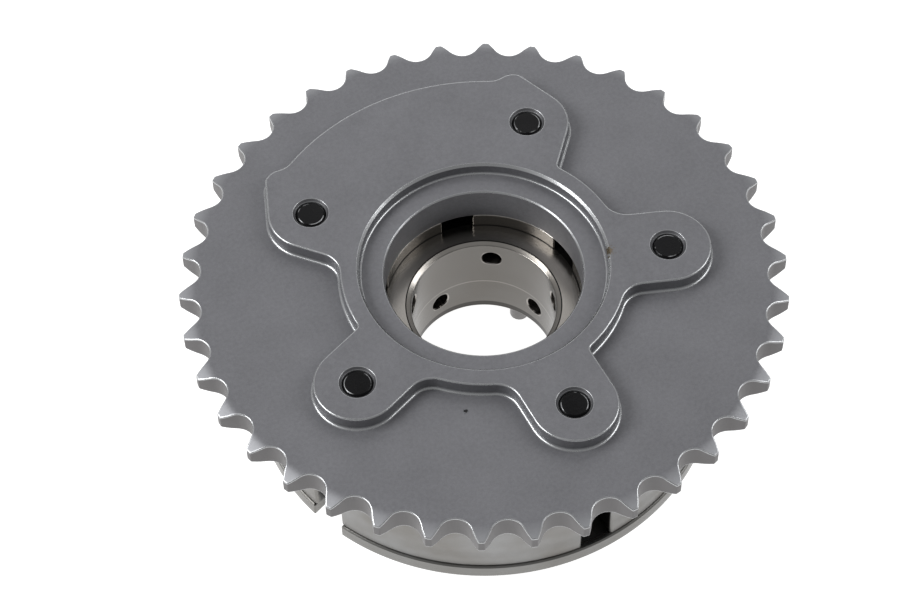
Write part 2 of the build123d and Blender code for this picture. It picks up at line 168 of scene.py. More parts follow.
class ToothSizes(bpy.types.PropertyGroup):
    """Sizes of the chain teeth."""

    number: count(38, "Teeth", "Number of teeth")
    chain_pitch: length(9.525, "Chain pitch", "Distance between chain rollers")
    gullet_radius: length(3.225, "Gullet", "Radius of the seat of a roller")
    gullet_half_turn: turn(62, "Gullet half angle", "Half of the angle of a roller's seat")
    tip_height: length(0.828, "Tip height", "Height of the tips above the pitch circle")
    tip_land: length(1.1, "Tip land", "Width of a tooth's tip")
    tip_corner: length(0.34, "Tip corner", "Radius of the corners beside the tip")
    relief_depth: length(1.15, "Relief depth", "How far the tip's faces slope in")
    relief_reach: length(2.8, "Relief reach", "How far the slope reaches in from the tip")
    plate_thickness: length(5.3, "Plate", "Thickness of the toothed plate")
    clear_radius: length(53, "Clear radius", "Radius where the toothed rim meets the plate")
    ground_radius: length(55.2, "Ground radius", "Radius past which the teeth's faces are rubbed")
    relief_blend: length(0.8, "Relief blend", "How softly the slope sets in")
    edge: length(0.2, "Tooth edge", "Radius of the edges of the teeth")


class PlateauSizes(bpy.types.PropertyGroup):
    """Sizes of the raised plateau, the bores in it and the boss below."""

    height: length(3.1, "Height", "Height above the toothed plate")
    ring_radius: length(27.5, "Ring", "Outer radius of the ring between the lobes")
    lobe_radius: length(8.3, "Lobe", "Radius round each screw")
    sector_radius: length(45.1, "Sector", "Radius of the raised sector")
    pad_radius: length(47.2, "Pad", "Radius of the sector's two end pads")
    pad_turn: turn(2.77, "Pad turn", "Angle from the pad's corner to its shoulder")
    pad_step_turn: turn(3, "Pad step", "Angle from the pad's shoulder to its foot")
    facet_turn: turn(26.4, "Facet", "Angle from a screw's direction to the facet beside it")
    valley_fillet: length(4.8, "Valley", "Radius between ring and lobe")
    tight_valley_fillet: length(1.2, "Tight valley", "Radius at three of the valleys")
    pad_foot_fillet: length(4.5, "Pad foot", "Radius at the foot of the pad")
    pad_shoulder_fillet: length(3.5, "Pad shoulder", "Radius at the pad's shoulder")
    pad_corner_fillet: length(2.2, "Pad corner", "Radius at the pad's corner")
    edge: length(0.28, "Plateau edge", "Radius of the plateau's edge")
    foot: length(0.45, "Plateau foot", "Radius at the plateau's foot")
    counterbore_radius: length(23.8, "Counterbore", "Radius of the counterbore")
    counterbore_depth: length(2.65, "Counterbore depth", "Depth of the counterbore")
    counterbore_edge: length(0.45, "Counterbore edge", "Chamfer at the counterbore's mouth")
    counterbore_corner: length(0.35, "Counterbore corner", "Radius in the counterbore's corner")
    bore_radius: length(19.1, "Camshaft bore", "Radius of the bore for the camshaft")
    bore_edge: length(0.25, "Bore edge", "Chamfer at the bore's mouth")
    tapped_radius: length(3, "Screw hole", "Radius of the screw holes")
    tapped_edge: length(0.5, "Screw hole edge", "Chamfer at the mouth of the screw holes")
    tapped_lip: length(0.25, "Screw hole lip", "Radius below that chamfer")
    boss_radius: length(46, "Boss", "Radius of the boss below the plate")
    boss_fillet: length(0.3, "Boss foot", "Radius between boss and plate")
    crisp: length(0.07, "Crisp edge", "Radius of the ends of the chamfers")


class HousingSizes(bpy.types.PropertyGroup):
    """Sizes of the stator, the front cover and the circle of screws."""

    screw_circle: length(35.6, "Screw circle", "Radius of the circle of screws")
    screw_spacing: turn(69, "Screw spacing", "Angle between neighbouring screws")
    outer_radius: length(46, "Stator", "Radius of the stator")
    chamber_radius: length(41.5, "Chamber", "Radius of the oil chambers")
    chamber_fillet: length(1.2, "Chamber fillet", "Radius in the corners of the chambers")
    web_width: length(13, "Web", "Width of the webs between chambers")
    web_tip_radius: length(26.15, "Web tip", "Radius of the webs' inner ends")
    web_corner: length(1, "Web corner", "Chamfer at the webs' inner corners")
    slot_width: length(2.26, "Seal slot", "Width of the seal slots")
    slot_floor: length(30.05, "Slot floor", "Radius of the floor of the webs' slots")
    pocket_width: length(6.2, "Pocket", "Width of the pockets outside the webs")
    pocket_depth: length(5.4, "Pocket depth", "Depth of the pockets outside the webs")
    pocket_edge: length(0.4, "Pocket edge", "Chamfer at the mouths of the pockets")
    pocket_corner: length(0.3, "Pocket corner", "Radius in the pockets' corners")
    hole_radius: length(3.2, "Screw hole", "Radius of the clearance holes for the screws")
    rim_chamfer: length(0.3, "Rim chamfer", "Chamfer where stator and cover meet")
    cover_radius: length(46.5, "Cover", "Radius of the front cover")
    cover_bore_radius: length(22, "Cover bore", "Radius of the opening in the front cover")
    notch_index: count(1, "Cover notch", "Number of the screw at the cover's notch")
    notch_width: length(7, "Cover notch width", "Width of the notch in the cover's rim")
    notch_depth: length(4, "Cover notch depth", "Depth of the notch in the cover's rim")
    edge: length(0.12, "Edge", "Radius of the machined edges")
    upright_edge: length(0.25, "Upright edge", "Radius of the upright machined edges")


class RotorSizes(bpy.types.PropertyGroup):
    """Sizes of the rotor, its dowel and the lock pin's spring."""

    rest_turn: turn(-12, "Rest", "Turn of the rotor at rest from the middle of its travel")
    travel: turn(24, "Travel", "Travel of the rotor")
    hub_radius: length(26, "Hub", "Radius of the hub")
    bore_radius: length(14.2, "Bore", "Radius of the rotor's bore")
    vane_radius: length(41.35, "Vane tip", "Radius of the vane tips")
    vane_root_width: length(6.5, "Vane root", "Width of a narrow vane at the hub")
    vane_tip_width: length(9, "Vane tip width", "Width of a narrow vane at its tip")
    stop_offset: length(6.6, "Stop offset", "Distance of the vane's side from the web's middle")
    wide_corner: length(1.8, "Wide vane corner", "Chamfer at the wide vane's corners")
    slot_floor: length(37.45, "Slot floor", "Radius of the floor of the vanes' seal slots")
    seat_radius: length(19.06, "Seat", "Radius of the recess that seats the camshaft")
    seat_depth: length(3.3, "Seat depth", "Depth of that recess")
    seat_corner: length(0.14, "Seat corner", "Radius between the seat and its wall")
    mouth_edge: length(0.3, "Recess edge", "Radius of the edge at the recess's mouth")
    mouth_corner: length(0.42, "Recess corner", "Radius of the corners beside the notches")
    chamfer_width: length(1, "Bore chamfer", "Width of the chamfer round the bore")
    chamfer_depth: length(0.45, "Chamfer depth", "Depth of the chamfer round the bore")
    chamfer_rim: length(0.45, "Chamfer rim", "Radius where that chamfer meets the seat")
    foot_chamfer: length(0.9, "Foot chamfer", "Chamfer at the foot of the bore")
    foot_band: length(1.7, "Foot band", "Height of the dark band above the foot chamfer")
    notch_count: count(5, "Notches", "Number of notches in the recess")
    notch_width: length(6.3, "Notch", "Width of the notches in the recess")
    notch_radius: length(23, "Notch floor", "Distance of the notches' ends from the axis")
    notch_corner: length(0.3, "Notch corner", "Radius in the corners of the notches")
    line_height: length(9.42, "Land line", "Height of the fine line in the bore")
    oil_radius: length(1.9, "Oil hole", "Radius of the oil holes")
    oil_edge: length(0.18, "Oil hole edge", "Chamfer at the mouths of the oil holes")
    upper_drop: length(7.8, "Upper row", "Distance of the upper oil holes from the top")
    lower_rise: length(6.35, "Lower row", "Distance of the lower oil holes from the bottom")
    oil_turn: turn(14.8, "Oil hole turn", "Angle between a narrow vane and its oil holes")
    wide_oil_turn: turn(22.3, "Wide vane hole turn", "Angle between the wide vane and its holes")
    pin_circle: length(32, "Pin circle", "Distance of the lock pin from the axis")
    pin_bore_radius: length(4.03, "Pin bore", "Radius of the lock pin's bore")
    nose_bore_radius: length(3.03, "Nose bore", "Radius of the bore round the pin's nose")
    lip: length(1.2, "Lip", "Thickness of the lip over the pin's shoulder")
    pin_travel: length(3.8, "Pin travel", "How far the lock pin slides in")
    spring_wire: length(0.7, "Spring wire", "Thickness of the lock pin's spring's wire")
    spring_radius: length(2.25, "Spring", "Radius of that spring at the middle of its wire")
    spring_turns: count(5, "Spring turns", "Number of turns of that spring")
    track_radius: length(3.05, "Track", "Half width of the lock pin's track")
    track_depth: length(3.8, "Track depth", "Depth of the lock pin's track")
    track_room: turn(0.3, "Track room", "Room at the ends of the track")
    dowel_circle: length(18.9, "Dowel circle", "Distance of the dowel from the axis")
    dowel_turn: turn(-38.8, "Dowel", "Angle from the wide vane to the dowel")
    dowel_radius: length(1.95, "Dowel radius", "Radius of the dowel's free end")
    dowel_seat_radius: length(2.25, "Dowel seat", "Radius of the dowel in its hole")
    dowel_depth: length(5.8, "Dowel depth", "Depth of the dowel's hole")
    dowel_edge: length(0.3, "Dowel edge", "Chamfer at the dowel's end")
    edge: length(0.08, "Edge", "Radius of the ground edges")
    upright_edge: length(0.22, "Upright edge", "Radius of the upright ground edges")


class ScrewSizes(bpy.types.PropertyGroup):
    """Sizes of the cover screws."""

    head_radius: length(5, "Head", "Radius of the head")
    head_height: length(4, "Head height", "Height of the head")
    shank_radius: length(3, "Shank", "Radius of the shank")
    end_chamfer: length(0.5, "End chamfer", "Chamfer at the threaded end")
    socket: length(4, "Socket", "Width across the flats of the socket")
    socket_depth: length(2.3, "Socket depth", "Depth of the socket")
    edge: length(0.25, "Edge", "Radius of the head's edges")


class FinishColours(bpy.types.PropertyGroup):
    """Colours of the finishes."""

    sprocket: colour((0.165, 0.166, 0.178), "Sprocket", "Tumbled sintered steel")
    relief: colour((0.285, 0.29, 0.305), "Tooth relief", "Rubbed steel on the teeth's tips")
    # Colour of bare edges, also of the painted highlights on fillets and chamfers and of the
    # screws' painted glints
    bare_and_painted_light: colour((0.50, 0.51, 0.52), "Worn edge", "Bare steel on edges")
    stator: colour((0.25, 0.25, 0.248), "Stator", "Machined aluminium")
    cover: colour((0.2, 0.198, 0.192), "Cover", "Ground steel")
    rotor: colour((0.42, 0.40, 0.375), "Rotor", "Ground sintered steel")
    pin: colour((0.19, 0.185, 0.182), "Pins", "Ground hardened steel")
    spring: colour((0.38, 0.38, 0.39), "Springs", "Drawn spring steel")
    screw: colour((0.004, 0.004, 0.0045), "Screws", "Oiled black oxide")
    seal: colour((0.10, 0.09, 0.08), "Seals", "Moulded plastic")
    stain: colour((0.14, 0.115, 0.08), "Stain", "Dried brown oil")
    floor: colour((0.5, 0.5, 0.5), "Floor", "Pale studio floor, apart from its own light")


class MarkPlaces(bpy.types.PropertyGroup):
    """Places and sizes of the single marks on the sprocket."""

    speck: spot((-17.57, -26.05), "Speck", "Black speck on the toothed plate")
    speck_reach: length(0.5, "Speck size", "How far the speck reaches")
    stain: spot((22.3, -8.5), "Stain", "Brown stain at the counterbore")
    stain_reach: length(1.2, "Stain size", "How far the stain reaches")


class StageSettings(bpy.types.PropertyGroup):
    """The camera's place and the strengths of lamps, world and floor."""

    azimuth: turn(-26.55, "Azimuth", "Direction that the camera looks in")
    elevation: turn(55.2574, "Elevation", "Height angle of the camera")
    roll: turn(-1.3156, "Roll", "Turn of the camera about its view")
    distance: length(503.904, "Distance", "Distance of the aim along the view")
    aside: length(6.459, "Aside", "How far the aim lies right of the view's middle")
    above: length(4.540, "Above", "How far the aim lies above the view's middle")
    aim_height: length(38.25, "Aim", "Height of the point on the axis that is aimed at")
    lens: bpy.props.FloatProperty(
        name="Lens", description="Focal length", default=104.976, unit="CAMERA"
    )
    world: amount(0.32, "World", "Strength of the even light from all round")
    floor_glow: amount(0.95, "Floor glow", "Strength of the light table under the object")
    left: power(11.3, "Left", "Power of the lamp on the left")
    right: power(4.8, "Right", "Power of the lamp on the right")
    back: power(2.2, "Back", "Power of the lamp behind the object")


class PhaserSettings(bpy.types.PropertyGroup):
    """Everything that the operators read."""

    teeth: bpy.props.PointerProperty(type=ToothSizes)
    plateau: bpy.props.PointerProperty(type=PlateauSizes)
    housing: bpy.props.PointerProperty(type=HousingSizes)
    rotor: bpy.props.PointerProperty(type=RotorSizes)
    screws: bpy.props.PointerProperty(type=ScrewSizes)
    colours: bpy.props.PointerProperty(type=FinishColours)
    marks: bpy.props.PointerProperty(type=MarkPlaces)
    stage: bpy.props.PointerProperty(type=StageSettings)


# Places and paths


def unit(vector):
    """The vector at length one."""
    return vector / np.linalg.norm(vector)


def bearing(vector):
    """Angle of a plane vector from +X."""
    return np.arctan2(vector[1], vector[0])


def polar(radius, angle):
    """Point at a radius and an angle."""
    return radius * np.array([np.cos(angle), np.sin(angle)])


def ways_out(angles):
    """Ways out from an axis at several angles, as rows."""
    return np.stack([np.cos(angles), np.sin(angles)], axis=1)


def left_of(vector):
    """The vector turned a quarter to the left."""
    return np.array([-vector[1], vector[0]])


def arc(centre, radius, first, last, left=True):
    """Path centre + radius (cos a, sin a), with a running from one angle to another the left or
    the right way round. A row is a point and the way out: away from the centre on a left turn,
    towards it on a right one."""
    sweep = (last - first) % (2 * np.pi) if left else -((first - last) % (2 * np.pi))
    run = abs(sweep) * radius
    steps = max(min(abs(sweep) / LARGEST_TURN, run / SHORTEST_STEP), run / LONGEST_STEP, 2)
    away = ways_out(first + sweep * np.linspace(0, 1, int(np.ceil(steps)) + 1))
    return np.hstack([centre + radius * away, away if left else -away])


def bend(centre, radius, start, end, left=True):
    """Arc between two directions from its centre."""
    return arc(centre, radius, bearing(start), bearing(end), left)


def corner(point, arriving, leaving, radius):
    """Arc that rounds a corner between two directions of travel: its centre is the radius over
    the cosine of half the turn from the point, along the difference of the directions."""
    half = np.arccos(np.clip(arriving @ leaving, -1, 1)) / 2
    left = left_of(arriving) @ leaving > 0
    side = -1 if left else 1
    centre = point + unit(leaving - arriving) * radius / np.cos(half)
    return bend(centre, radius, side * left_of(arriving), side * left_of(leaving), left)


def cut_corner(start, end, arriving, leaving, radius):
    """Arcs at the two ends of a flat that cuts a corner off."""
    along = unit(end - start)
    return [corner(start, arriving, along, radius), corner(end, along, leaving, radius)]


def turned(path, angle):
    """The path turned about the axis."""
    rotation = np.array([[np.cos(angle), np.sin(angle)], [-np.sin(angle), np.cos(angle)]])
    return np.hstack([path[:, :2] @ rotation, path[:, 2:] @ rotation])


def with_mirror(upper):
    """A path that starts on the X axis, led up to by its own mirror image below the axis."""
    return np.vstack([upper[::-1] * np.array([1, -1, 1, -1]), upper])


def on_circle(radius, height):
    """Point of a circle about the axis at a distance from the X axis."""
    return np.array([np.sqrt(radius**2 - height**2), height])


def tangent(point):
    """Way of travel at a point of a circle about the axis."""
    return left_of(unit(point))


def supported(path):
    """The closed path with a point added just inside both ends of each straight stretch, so
    that flat walls shade flat. Fractions put the added points in their place in the order."""
    after = np.roll(path, -1, axis=0)
    gap = after[:, :2] - path[:, :2]
    run = np.linalg.norm(gap, axis=1)
    straight = (run > 4 * SUPPORT) & (np.sum(path[:, 2:] * after[:, 2:], axis=1) > STRAIGHT)
    step = np.zeros_like(path)
    step[:, :2] = gap * (SUPPORT / np.maximum(run, SUPPORT))[:, None]
    spots = np.flatnonzero(straight)
    places = np.concatenate([np.arange(len(path)), spots + 0.3, spots + 0.6])
    rows = np.vstack([path, (path + step)[spots], (after - step)[spots]])
    return rows[np.argsort(places, kind="stable")]


def joined(features, radius):
    """Closed path of features in turn, with arcs about the axis between them."""
    pieces = []
    for feature, following in zip(features, features[1:] + features[:1]):
        first, last = bearing(feature[-1]) + JOIN_TURN, bearing(following[0]) - JOIN_TURN
        pieces += [feature, arc((0, 0), radius, first, last)]
    return supported(np.vstack(pieces))


def repeated(feature, angles, radius):
    """Closed path of one feature turned to several angles, with arcs about the axis between."""
    return joined([turned(feature, angle) for angle in angles], radius)


# Sections, walls and flat faces


def section(corners, radii, steps=3, flats=None):
    """Section of a wall, rows of (offset, height, wear): a polyline whose inner corners are
    rounded by arcs. A point just before and after each arc keeps the flats flat in shading.
    The fourth value is one on arcs that are given with a positive radius: bare rubbed edges that
    shine, and a painted highlight where such an arc is a concave fillet. It is minus one on the
    others, a painted shade in concave corners. Flats gives that value for the straight stretches
    that have one, by their number: a painted highlight above nothing, a painted shade below it."""
    corners = np.asarray(corners, float)
    flats = flats or {}
    rows = [[*corners[0], flats.get(0, 0)]]
    for number, radius in enumerate(radii):
        before, point, after = corners[number:number + 3]
        arriving, leaving = unit(point - before), unit(after - point)
        half = np.arccos(np.clip(arriving @ leaving, -1, 1)) / 2
        size = abs(radius)
        centre = point + unit(leaving - arriving) * size / np.cos(half)
        reach = size * np.tan(half)
        start, end = point - arriving * reach, point + leaving * reach
        first = bearing(start - centre)
        sweep = (bearing(end - centre) - first + np.pi) % (2 * np.pi) - np.pi
        rounded = centre + size * ways_out(first + sweep * np.linspace(0, 1, steps + 1))
        rows += [[*(start - arriving * SUPPORT), flats.get(number, 0)],
                 *np.column_stack([rounded, np.full(steps + 1, np.sign(radius))]),
                 [*(end + leaving * SUPPORT), flats.get(number + 1, 0)]]
    rows.append([*corners[-1], flats.get(len(radii), 0)])
    return np.array(rows)


def plain_section(offset, first, last, edge, reach):
    """Section of an upright wall that turns by an edge at both ends and reaches onto the flat
    faces there."""
    return section([(offset + reach, first), (offset, first), (offset, last),
                    (offset + reach, last)], [edge, edge])


def past(edge):
    """How far in from a wall its flat faces start, past an edge's arc."""
    return edge + 1.5 * SUPPORT


def wall(path, rows):
    """Grid of points (x, y, z, wear): the path's point plus the section's offset times the way
    out, at the section's height."""
    flat = path[None, :, :2] + rows[:, None, :1] * path[None, :, 2:]
    upright = np.broadcast_to(rows[:, None, 1:], flat.shape)
    return np.concatenate([flat, upright], axis=2)


def revolved(rows, points, centre=(0, 0)):
    """Grid of a section of (radius, height, wear) turned about an upright line."""
    away = ways_out(np.linspace(0, 2 * np.pi, points, endpoint=False))
    return wall(np.hstack([centre + 0 * away, away]), rows)


def strip(grid, keep=None):
    """Quads between neighbouring points of a grid whose columns close on themselves."""
    rows, columns = grid.shape[:2]
    index = np.arange(rows * columns).reshape(rows, columns)
    beside = np.roll(index, -1, axis=1)
    quads = np.stack([index[:-1], beside[:-1], beside[1:], index[1:]], axis=-1)
    return grid.reshape(-1, 4), quads.reshape(-1, 4) if keep is None else quads[keep]


def cap(*loops):
    """Flat face inside the first loop and outside the others, as triangles between points."""
    spaced = [loop[np.linalg.norm(loop - np.roll(loop, 1, axis=0), axis=1) > MERGE_DISTANCE]
              for loop in loops]
    triangles = tessellate_polygon([loop[:, :2].tolist() for loop in spaced])
    return np.vstack(spaced), np.array(triangles)


def drilled(angle, height, rings, around):
    """Tube of a hole drilled towards the axis. For rings of (wall radius R, depth d, radius r,
    wear) and an angle a round the drill, a point lies sqrt(R R - (r sin a)^2) + d out along the
    drill, r sin a aside and r cos a up."""
    wall_radius, depth, radius, wear_and_light = np.array(rings, float).T[:, :, None]
    aside = radius * np.sin(around)
    out = np.sqrt(wall_radius**2 - aside**2) + depth
    up = height + radius * np.cos(around)
    x = out * np.cos(angle) - aside * np.sin(angle)
    y = out * np.sin(angle) + aside * np.cos(angle)
    return np.stack([x, y, up, np.broadcast_to(wear_and_light, up.shape)], axis=2)


def unrolled(points, radius, angle):
    """Places of points on a wall about the axis: radius times the turn from an angle, height."""
    turns = np.arctan2(points[:, 1], points[:, 0]) - angle
    return np.stack([radius * ((turns + np.pi) % (2 * np.pi) - np.pi), points[:, 2]], axis=1)


def open_gap(grid, keep, radius, angle, height, room):
    """Takes the cells round a place out of a wall's grid, and gives the gap's border."""
    columns = grid.shape[1]
    heights = grid[:, 0, 2]
    across = unrolled(grid[0], radius, angle)[:, 0]
    order = (np.argmin(np.abs(across)) + np.arange(-columns // 4, columns // 4)) % columns
    left = order[np.flatnonzero(across[order] < -room)[-1]]
    right = order[np.flatnonzero(across[order] > room)[0]]
    low = np.flatnonzero(heights < height - room)[-1]
    high = np.flatnonzero(heights > height + room)[0]
    span = (left + np.arange((right - left) % columns + 1)) % columns
    rise = np.arange(low, high + 1)
    keep[np.ix_(rise[:-1], span[:-1])] = False
    return np.vstack([grid[low, span[:-1]], grid[rise[:-1], right],
                      grid[high, span[:0:-1]], grid[rise[:0:-1], left]])


def hole_grid(border, radius, angle, height, rings):
    """Wall round a drilled hole, and the hole's tube. On the unrolled wall a point's place is
    (1 - s) times its place on the gap's border plus s times the rim's, at the same angle."""
    border_place = unrolled(border, radius, angle) - np.array([0, height])
    around = np.arctan2(border_place[:, 0], border_place[:, 1])
    tube = drilled(angle, height, rings, around)
    rim_place = unrolled(tube[0], radius, angle) - np.array([0, height])
    share = (np.arange(PATCH_ROWS) / PATCH_ROWS)[:, None, None]
    place = (1 - share) * border_place + share * rim_place
    turns = angle + place[..., 0] / radius
    patch = np.stack([radius * np.cos(turns), radius * np.sin(turns), height + place[..., 1],
                      np.zeros_like(turns)], axis=2)
    return np.concatenate([patch, tube])


def pierced(inner, outer, inner_radius, outer_radius, holes, rings):
    """Two walls about the axis joined by drilled holes: the tubes run from the inner wall's
    gaps to the outer wall's, which are closed by triangles on the unrolled wall."""
    keep_inner, keep_outer = (np.ones((len(grid) - 1, grid.shape[1]), bool)
                              for grid in (inner, outer))
    room = rings[0][2] + 2 * SUPPORT
    surfaces = []
    for angle, height in holes:
        border = open_gap(inner, keep_inner, inner_radius, angle, height, room)
        tube = hole_grid(border, inner_radius, angle, height, rings)
        far = open_gap(outer, keep_outer, outer_radius, angle, height, room)
        loops = [unrolled(loop, outer_radius, angle).tolist() for loop in (far, tube[-1])]
        collar = np.vstack([far, tube[-1]]), np.array(tessellate_polygon(loops))
        surfaces += [strip(tube), collar]
    return [strip(inner, keep_inner), strip(outer, keep_outer), *surfaces]


def build_mesh(name, surfaces):
    """Closed mesh from (points, faces) pairs: points that coincide are merged, faces are turned
    outwards, and the fourth value of each point, which holds bare edges and painted light, is kept
    as the attribute bare_and_painted_light."""
    points = np.vstack([surface[0] for surface in surfaces])
    starts = np.cumsum([0] + [len(surface[0]) for surface in surfaces])
    faces = []
    for start, surface in zip(starts, surfaces):
        faces += (surface[1] + start).tolist()
    mesh = bpy.data.meshes.new(name)
    mesh.from_pydata(points[:, :3].tolist(), [], faces)
    # Fourth value: bare edges and painted highlights above nothing, painted shade below it
    bare_and_painted_light = mesh.attributes.new("bare_and_painted_light", "FLOAT", "POINT")
    bare_and_painted_light.data.foreach_set("value", points[:, 3].astype(np.float32))
    shape = bmesh.new()
    shape.from_mesh(mesh)
    bmesh.ops.remove_doubles(shape, verts=shape.verts, dist=MERGE_DISTANCE)
    bmesh.ops.recalc_face_normals(shape, faces=shape.faces)
    shape.to_mesh(mesh)
    shape.free()
    mesh.shade_smooth()
    mesh.set_sharp_from_angle(angle=SHARP_ANGLE)
    return mesh


def place_piece(name, mesh, material, body, *nodes):
    """Puts a finished mesh in the scene as a piece that rides a body and stands for nodes."""
    mesh.materials.append(material)
    piece = bpy.data.objects.new(name, mesh)
    bpy.context.scene.collection.objects.link(piece)
    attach(piece, body)
    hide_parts(*nodes)
    return piece


def levels(node):
    """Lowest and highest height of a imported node."""
    low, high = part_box(node)
    return low.z, high.z


def sector_half(housing):
    """Angle from the raised sector's middle to the screws beside it."""
    return np.pi - 2 * housing.screw_spacing


def screw_angles(housing):
    """Directions of the five screws, from the one on the left of the raised sector."""
    return np.pi / 2 + sector_half(housing) + housing.screw_spacing * np.arange(5)


def wide_vane_angle(rotor):
    """Direction of the wide vane and the lock pin at rest."""
    return np.pi / 2 + rotor.rest_turn


def narrow_vane_angles(settings):
    """Directions of the four narrow vanes at rest."""
    housing = settings.housing
    return screw_angles(housing)[:-1] + housing.screw_spacing / 2 + settings.rotor.rest_turn


# Shapes of the sprocket


def tooth_path(teeth, pitch_radius, tip_radius):
    """Outline of the teeth. Half a gap is a gullet arc round a chain roller, a flank arc that
    leaves it tangent and ends at the tip, a corner arc and half the tip's land."""
    pitch_turn = 2 * np.pi / teeth.number
    land_start = pitch_turn / 2 - teeth.tip_land / 2 / tip_radius
    roller = np.array([pitch_radius, 0])
    foot = roller + polar(teeth.gullet_radius, np.pi - teeth.gullet_half_turn)
    leaving = polar(1, np.pi / 2 - teeth.gullet_half_turn)
    tip = polar(tip_radius, land_start)
    chord = tip - foot
    flank_radius = chord @ chord / (2 * chord @ left_of(leaving))
    flank_centre = foot + flank_radius * left_of(leaving)
    arriving = left_of(unit(tip - flank_centre))
    half_turn = np.arccos(arriving @ tangent(tip)) / 2
    cut = CORNER_ROOM * teeth.tip_corner * np.tan(half_turn)
    space = with_mirror(np.vstack([
        arc(roller, teeth.gullet_radius, np.pi, np.pi - teeth.gullet_half_turn, left=False),
        arc(flank_centre, flank_radius, bearing(foot - flank_centre),
            bearing(tip - flank_centre) - cut / flank_radius),
        corner(tip, arriving, tangent(tip), teeth.tip_corner),
        arc((0, 0), tip_radius, land_start + cut / tip_radius, pitch_turn / 2),
    ]))
    starts = np.pi / 2 + pitch_turn * (np.arange(teeth.number) + 0.5)
    return np.vstack([turned(space, start) for start in starts])


def relief_drop(radius, crease, teeth):
    """How far a tooth's face lies below the plate's at a radius: a slope towards the tip that
    sets in through a short parabola."""
    beyond, soft = radius - crease, teeth.relief_blend
    eased = np.clip(beyond + soft, 0, 2 * soft) ** 2 / (4 * soft)
    return np.where(beyond > soft, beyond, eased) * teeth.relief_depth / teeth.relief_reach


def held_within(points, radius):
    """The points drawn in to a radius where they lie outside it."""
    share = np.minimum(1, radius / np.hypot(points[:, 0], points[:, 1]))[:, None]
    return np.hstack([points[:, :2] * share, points[:, 2:]])


def rim_grid(teeth, plateau, bottom, plate_bottom):
    """The toothed rim, from the boss below the plate and round the teeth to a circle on top."""
    plate_top = plate_bottom + teeth.plate_thickness
    pitch_radius = teeth.chain_pitch / 2 / np.sin(np.pi / teeth.number)
    tip_radius = pitch_radius + teeth.tip_height
    crease = tip_radius - teeth.relief_reach
    rim = wall(tooth_path(teeth, pitch_radius, tip_radius),
               plain_section(0, plate_bottom, plate_top, teeth.edge, -past(teeth.edge)))
    circles = [*(crease + teeth.relief_blend * RELIEF_ROWS), teeth.clear_radius]
    lower = [held_within(rim[0], radius) for radius in circles]
    upper = [held_within(rim[-1], radius) for radius in circles]
    grid = np.stack([*lower[::-1], *rim, *upper])
    side = np.sign(grid[..., 2] - (plate_bottom + plate_top) / 2)
    grid[..., 2] -= side * relief_drop(np.hypot(grid[..., 0], grid[..., 1]), crease, teeth)
    away = grid[0, :, :2] / np.hypot(grid[0, :, 0], grid[0, :, 1])[:, None]
    boss = section([(plateau.boss_radius - MM, bottom), (plateau.boss_radius, bottom),
                    (plateau.boss_radius, plate_bottom), (teeth.clear_radius, plate_bottom)],
                   [plateau.edge / 2, -plateau.boss_fillet])
    return np.concatenate([wall(np.hstack([0 * away, away]), boss[:-1]), grid])


def beside_line(out, distance, radius, ahead):
    """Point at a distance along a way out and at a radius from the axis, ahead along a line."""
    return out * distance + ahead * np.sqrt(radius**2 - distance**2)


def sector_path(plateau, screw, facet_out):
    """Left half of the raised sector's outline, from its middle to the facet by the screw: the
    sector's arc, a step out to the pad with a foot and a shoulder arc, the pad's arc and its
    corner. A corner's arc keeps its radius from both lines that it joins."""
    facet = screw @ facet_out + plateau.lobe_radius
    pad_corner = bearing(facet_out) - np.arccos(facet / plateau.pad_radius)
    shoulder = polar(plateau.pad_radius, pad_corner - plateau.pad_turn)
    foot = polar(plateau.sector_radius, pad_corner - plateau.pad_turn - plateau.pad_step_turn)
    along = unit(shoulder - foot)
    step_out = -left_of(along)
    step = foot @ step_out
    foot_centre = beside_line(step_out, step + plateau.pad_foot_fillet,
                              plateau.sector_radius + plateau.pad_foot_fillet, along)
    shoulder_centre = beside_line(step_out, step - plateau.pad_shoulder_fillet,
                                  plateau.pad_radius - plateau.pad_shoulder_fillet, along)
    corner_centre = beside_line(facet_out, facet - plateau.pad_corner_fillet,
                                plateau.pad_radius - plateau.pad_corner_fillet,
                                -left_of(facet_out))
    return np.vstack([
        arc((0, 0), plateau.sector_radius, np.pi / 2, bearing(foot_centre)),
        bend(foot_centre, plateau.pad_foot_fillet, -foot_centre, -step_out, left=False),
        bend(shoulder_centre, plateau.pad_shoulder_fillet, step_out, shoulder_centre),
        arc((0, 0), plateau.pad_radius, bearing(shoulder_centre), bearing(corner_centre)),
        bend(corner_centre, plateau.pad_corner_fillet, corner_centre, facet_out),
    ])


def valley_arc(plateau, angle, side, fillet):
    """Concave arc between a lobe's straight side and the ring: its centre keeps the fillet's
    radius from the side's line and from the ring. Side is 1 on the left of the lobe."""
    along, across = polar(1, angle), side * left_of(polar(1, angle))
    centre = beside_line(across, plateau.lobe_radius + fillet, plateau.ring_radius + fillet, along)
    ways = [-across, -centre] if side > 0 else [-centre, -across]
    return bend(centre, fillet, *ways, left=False)


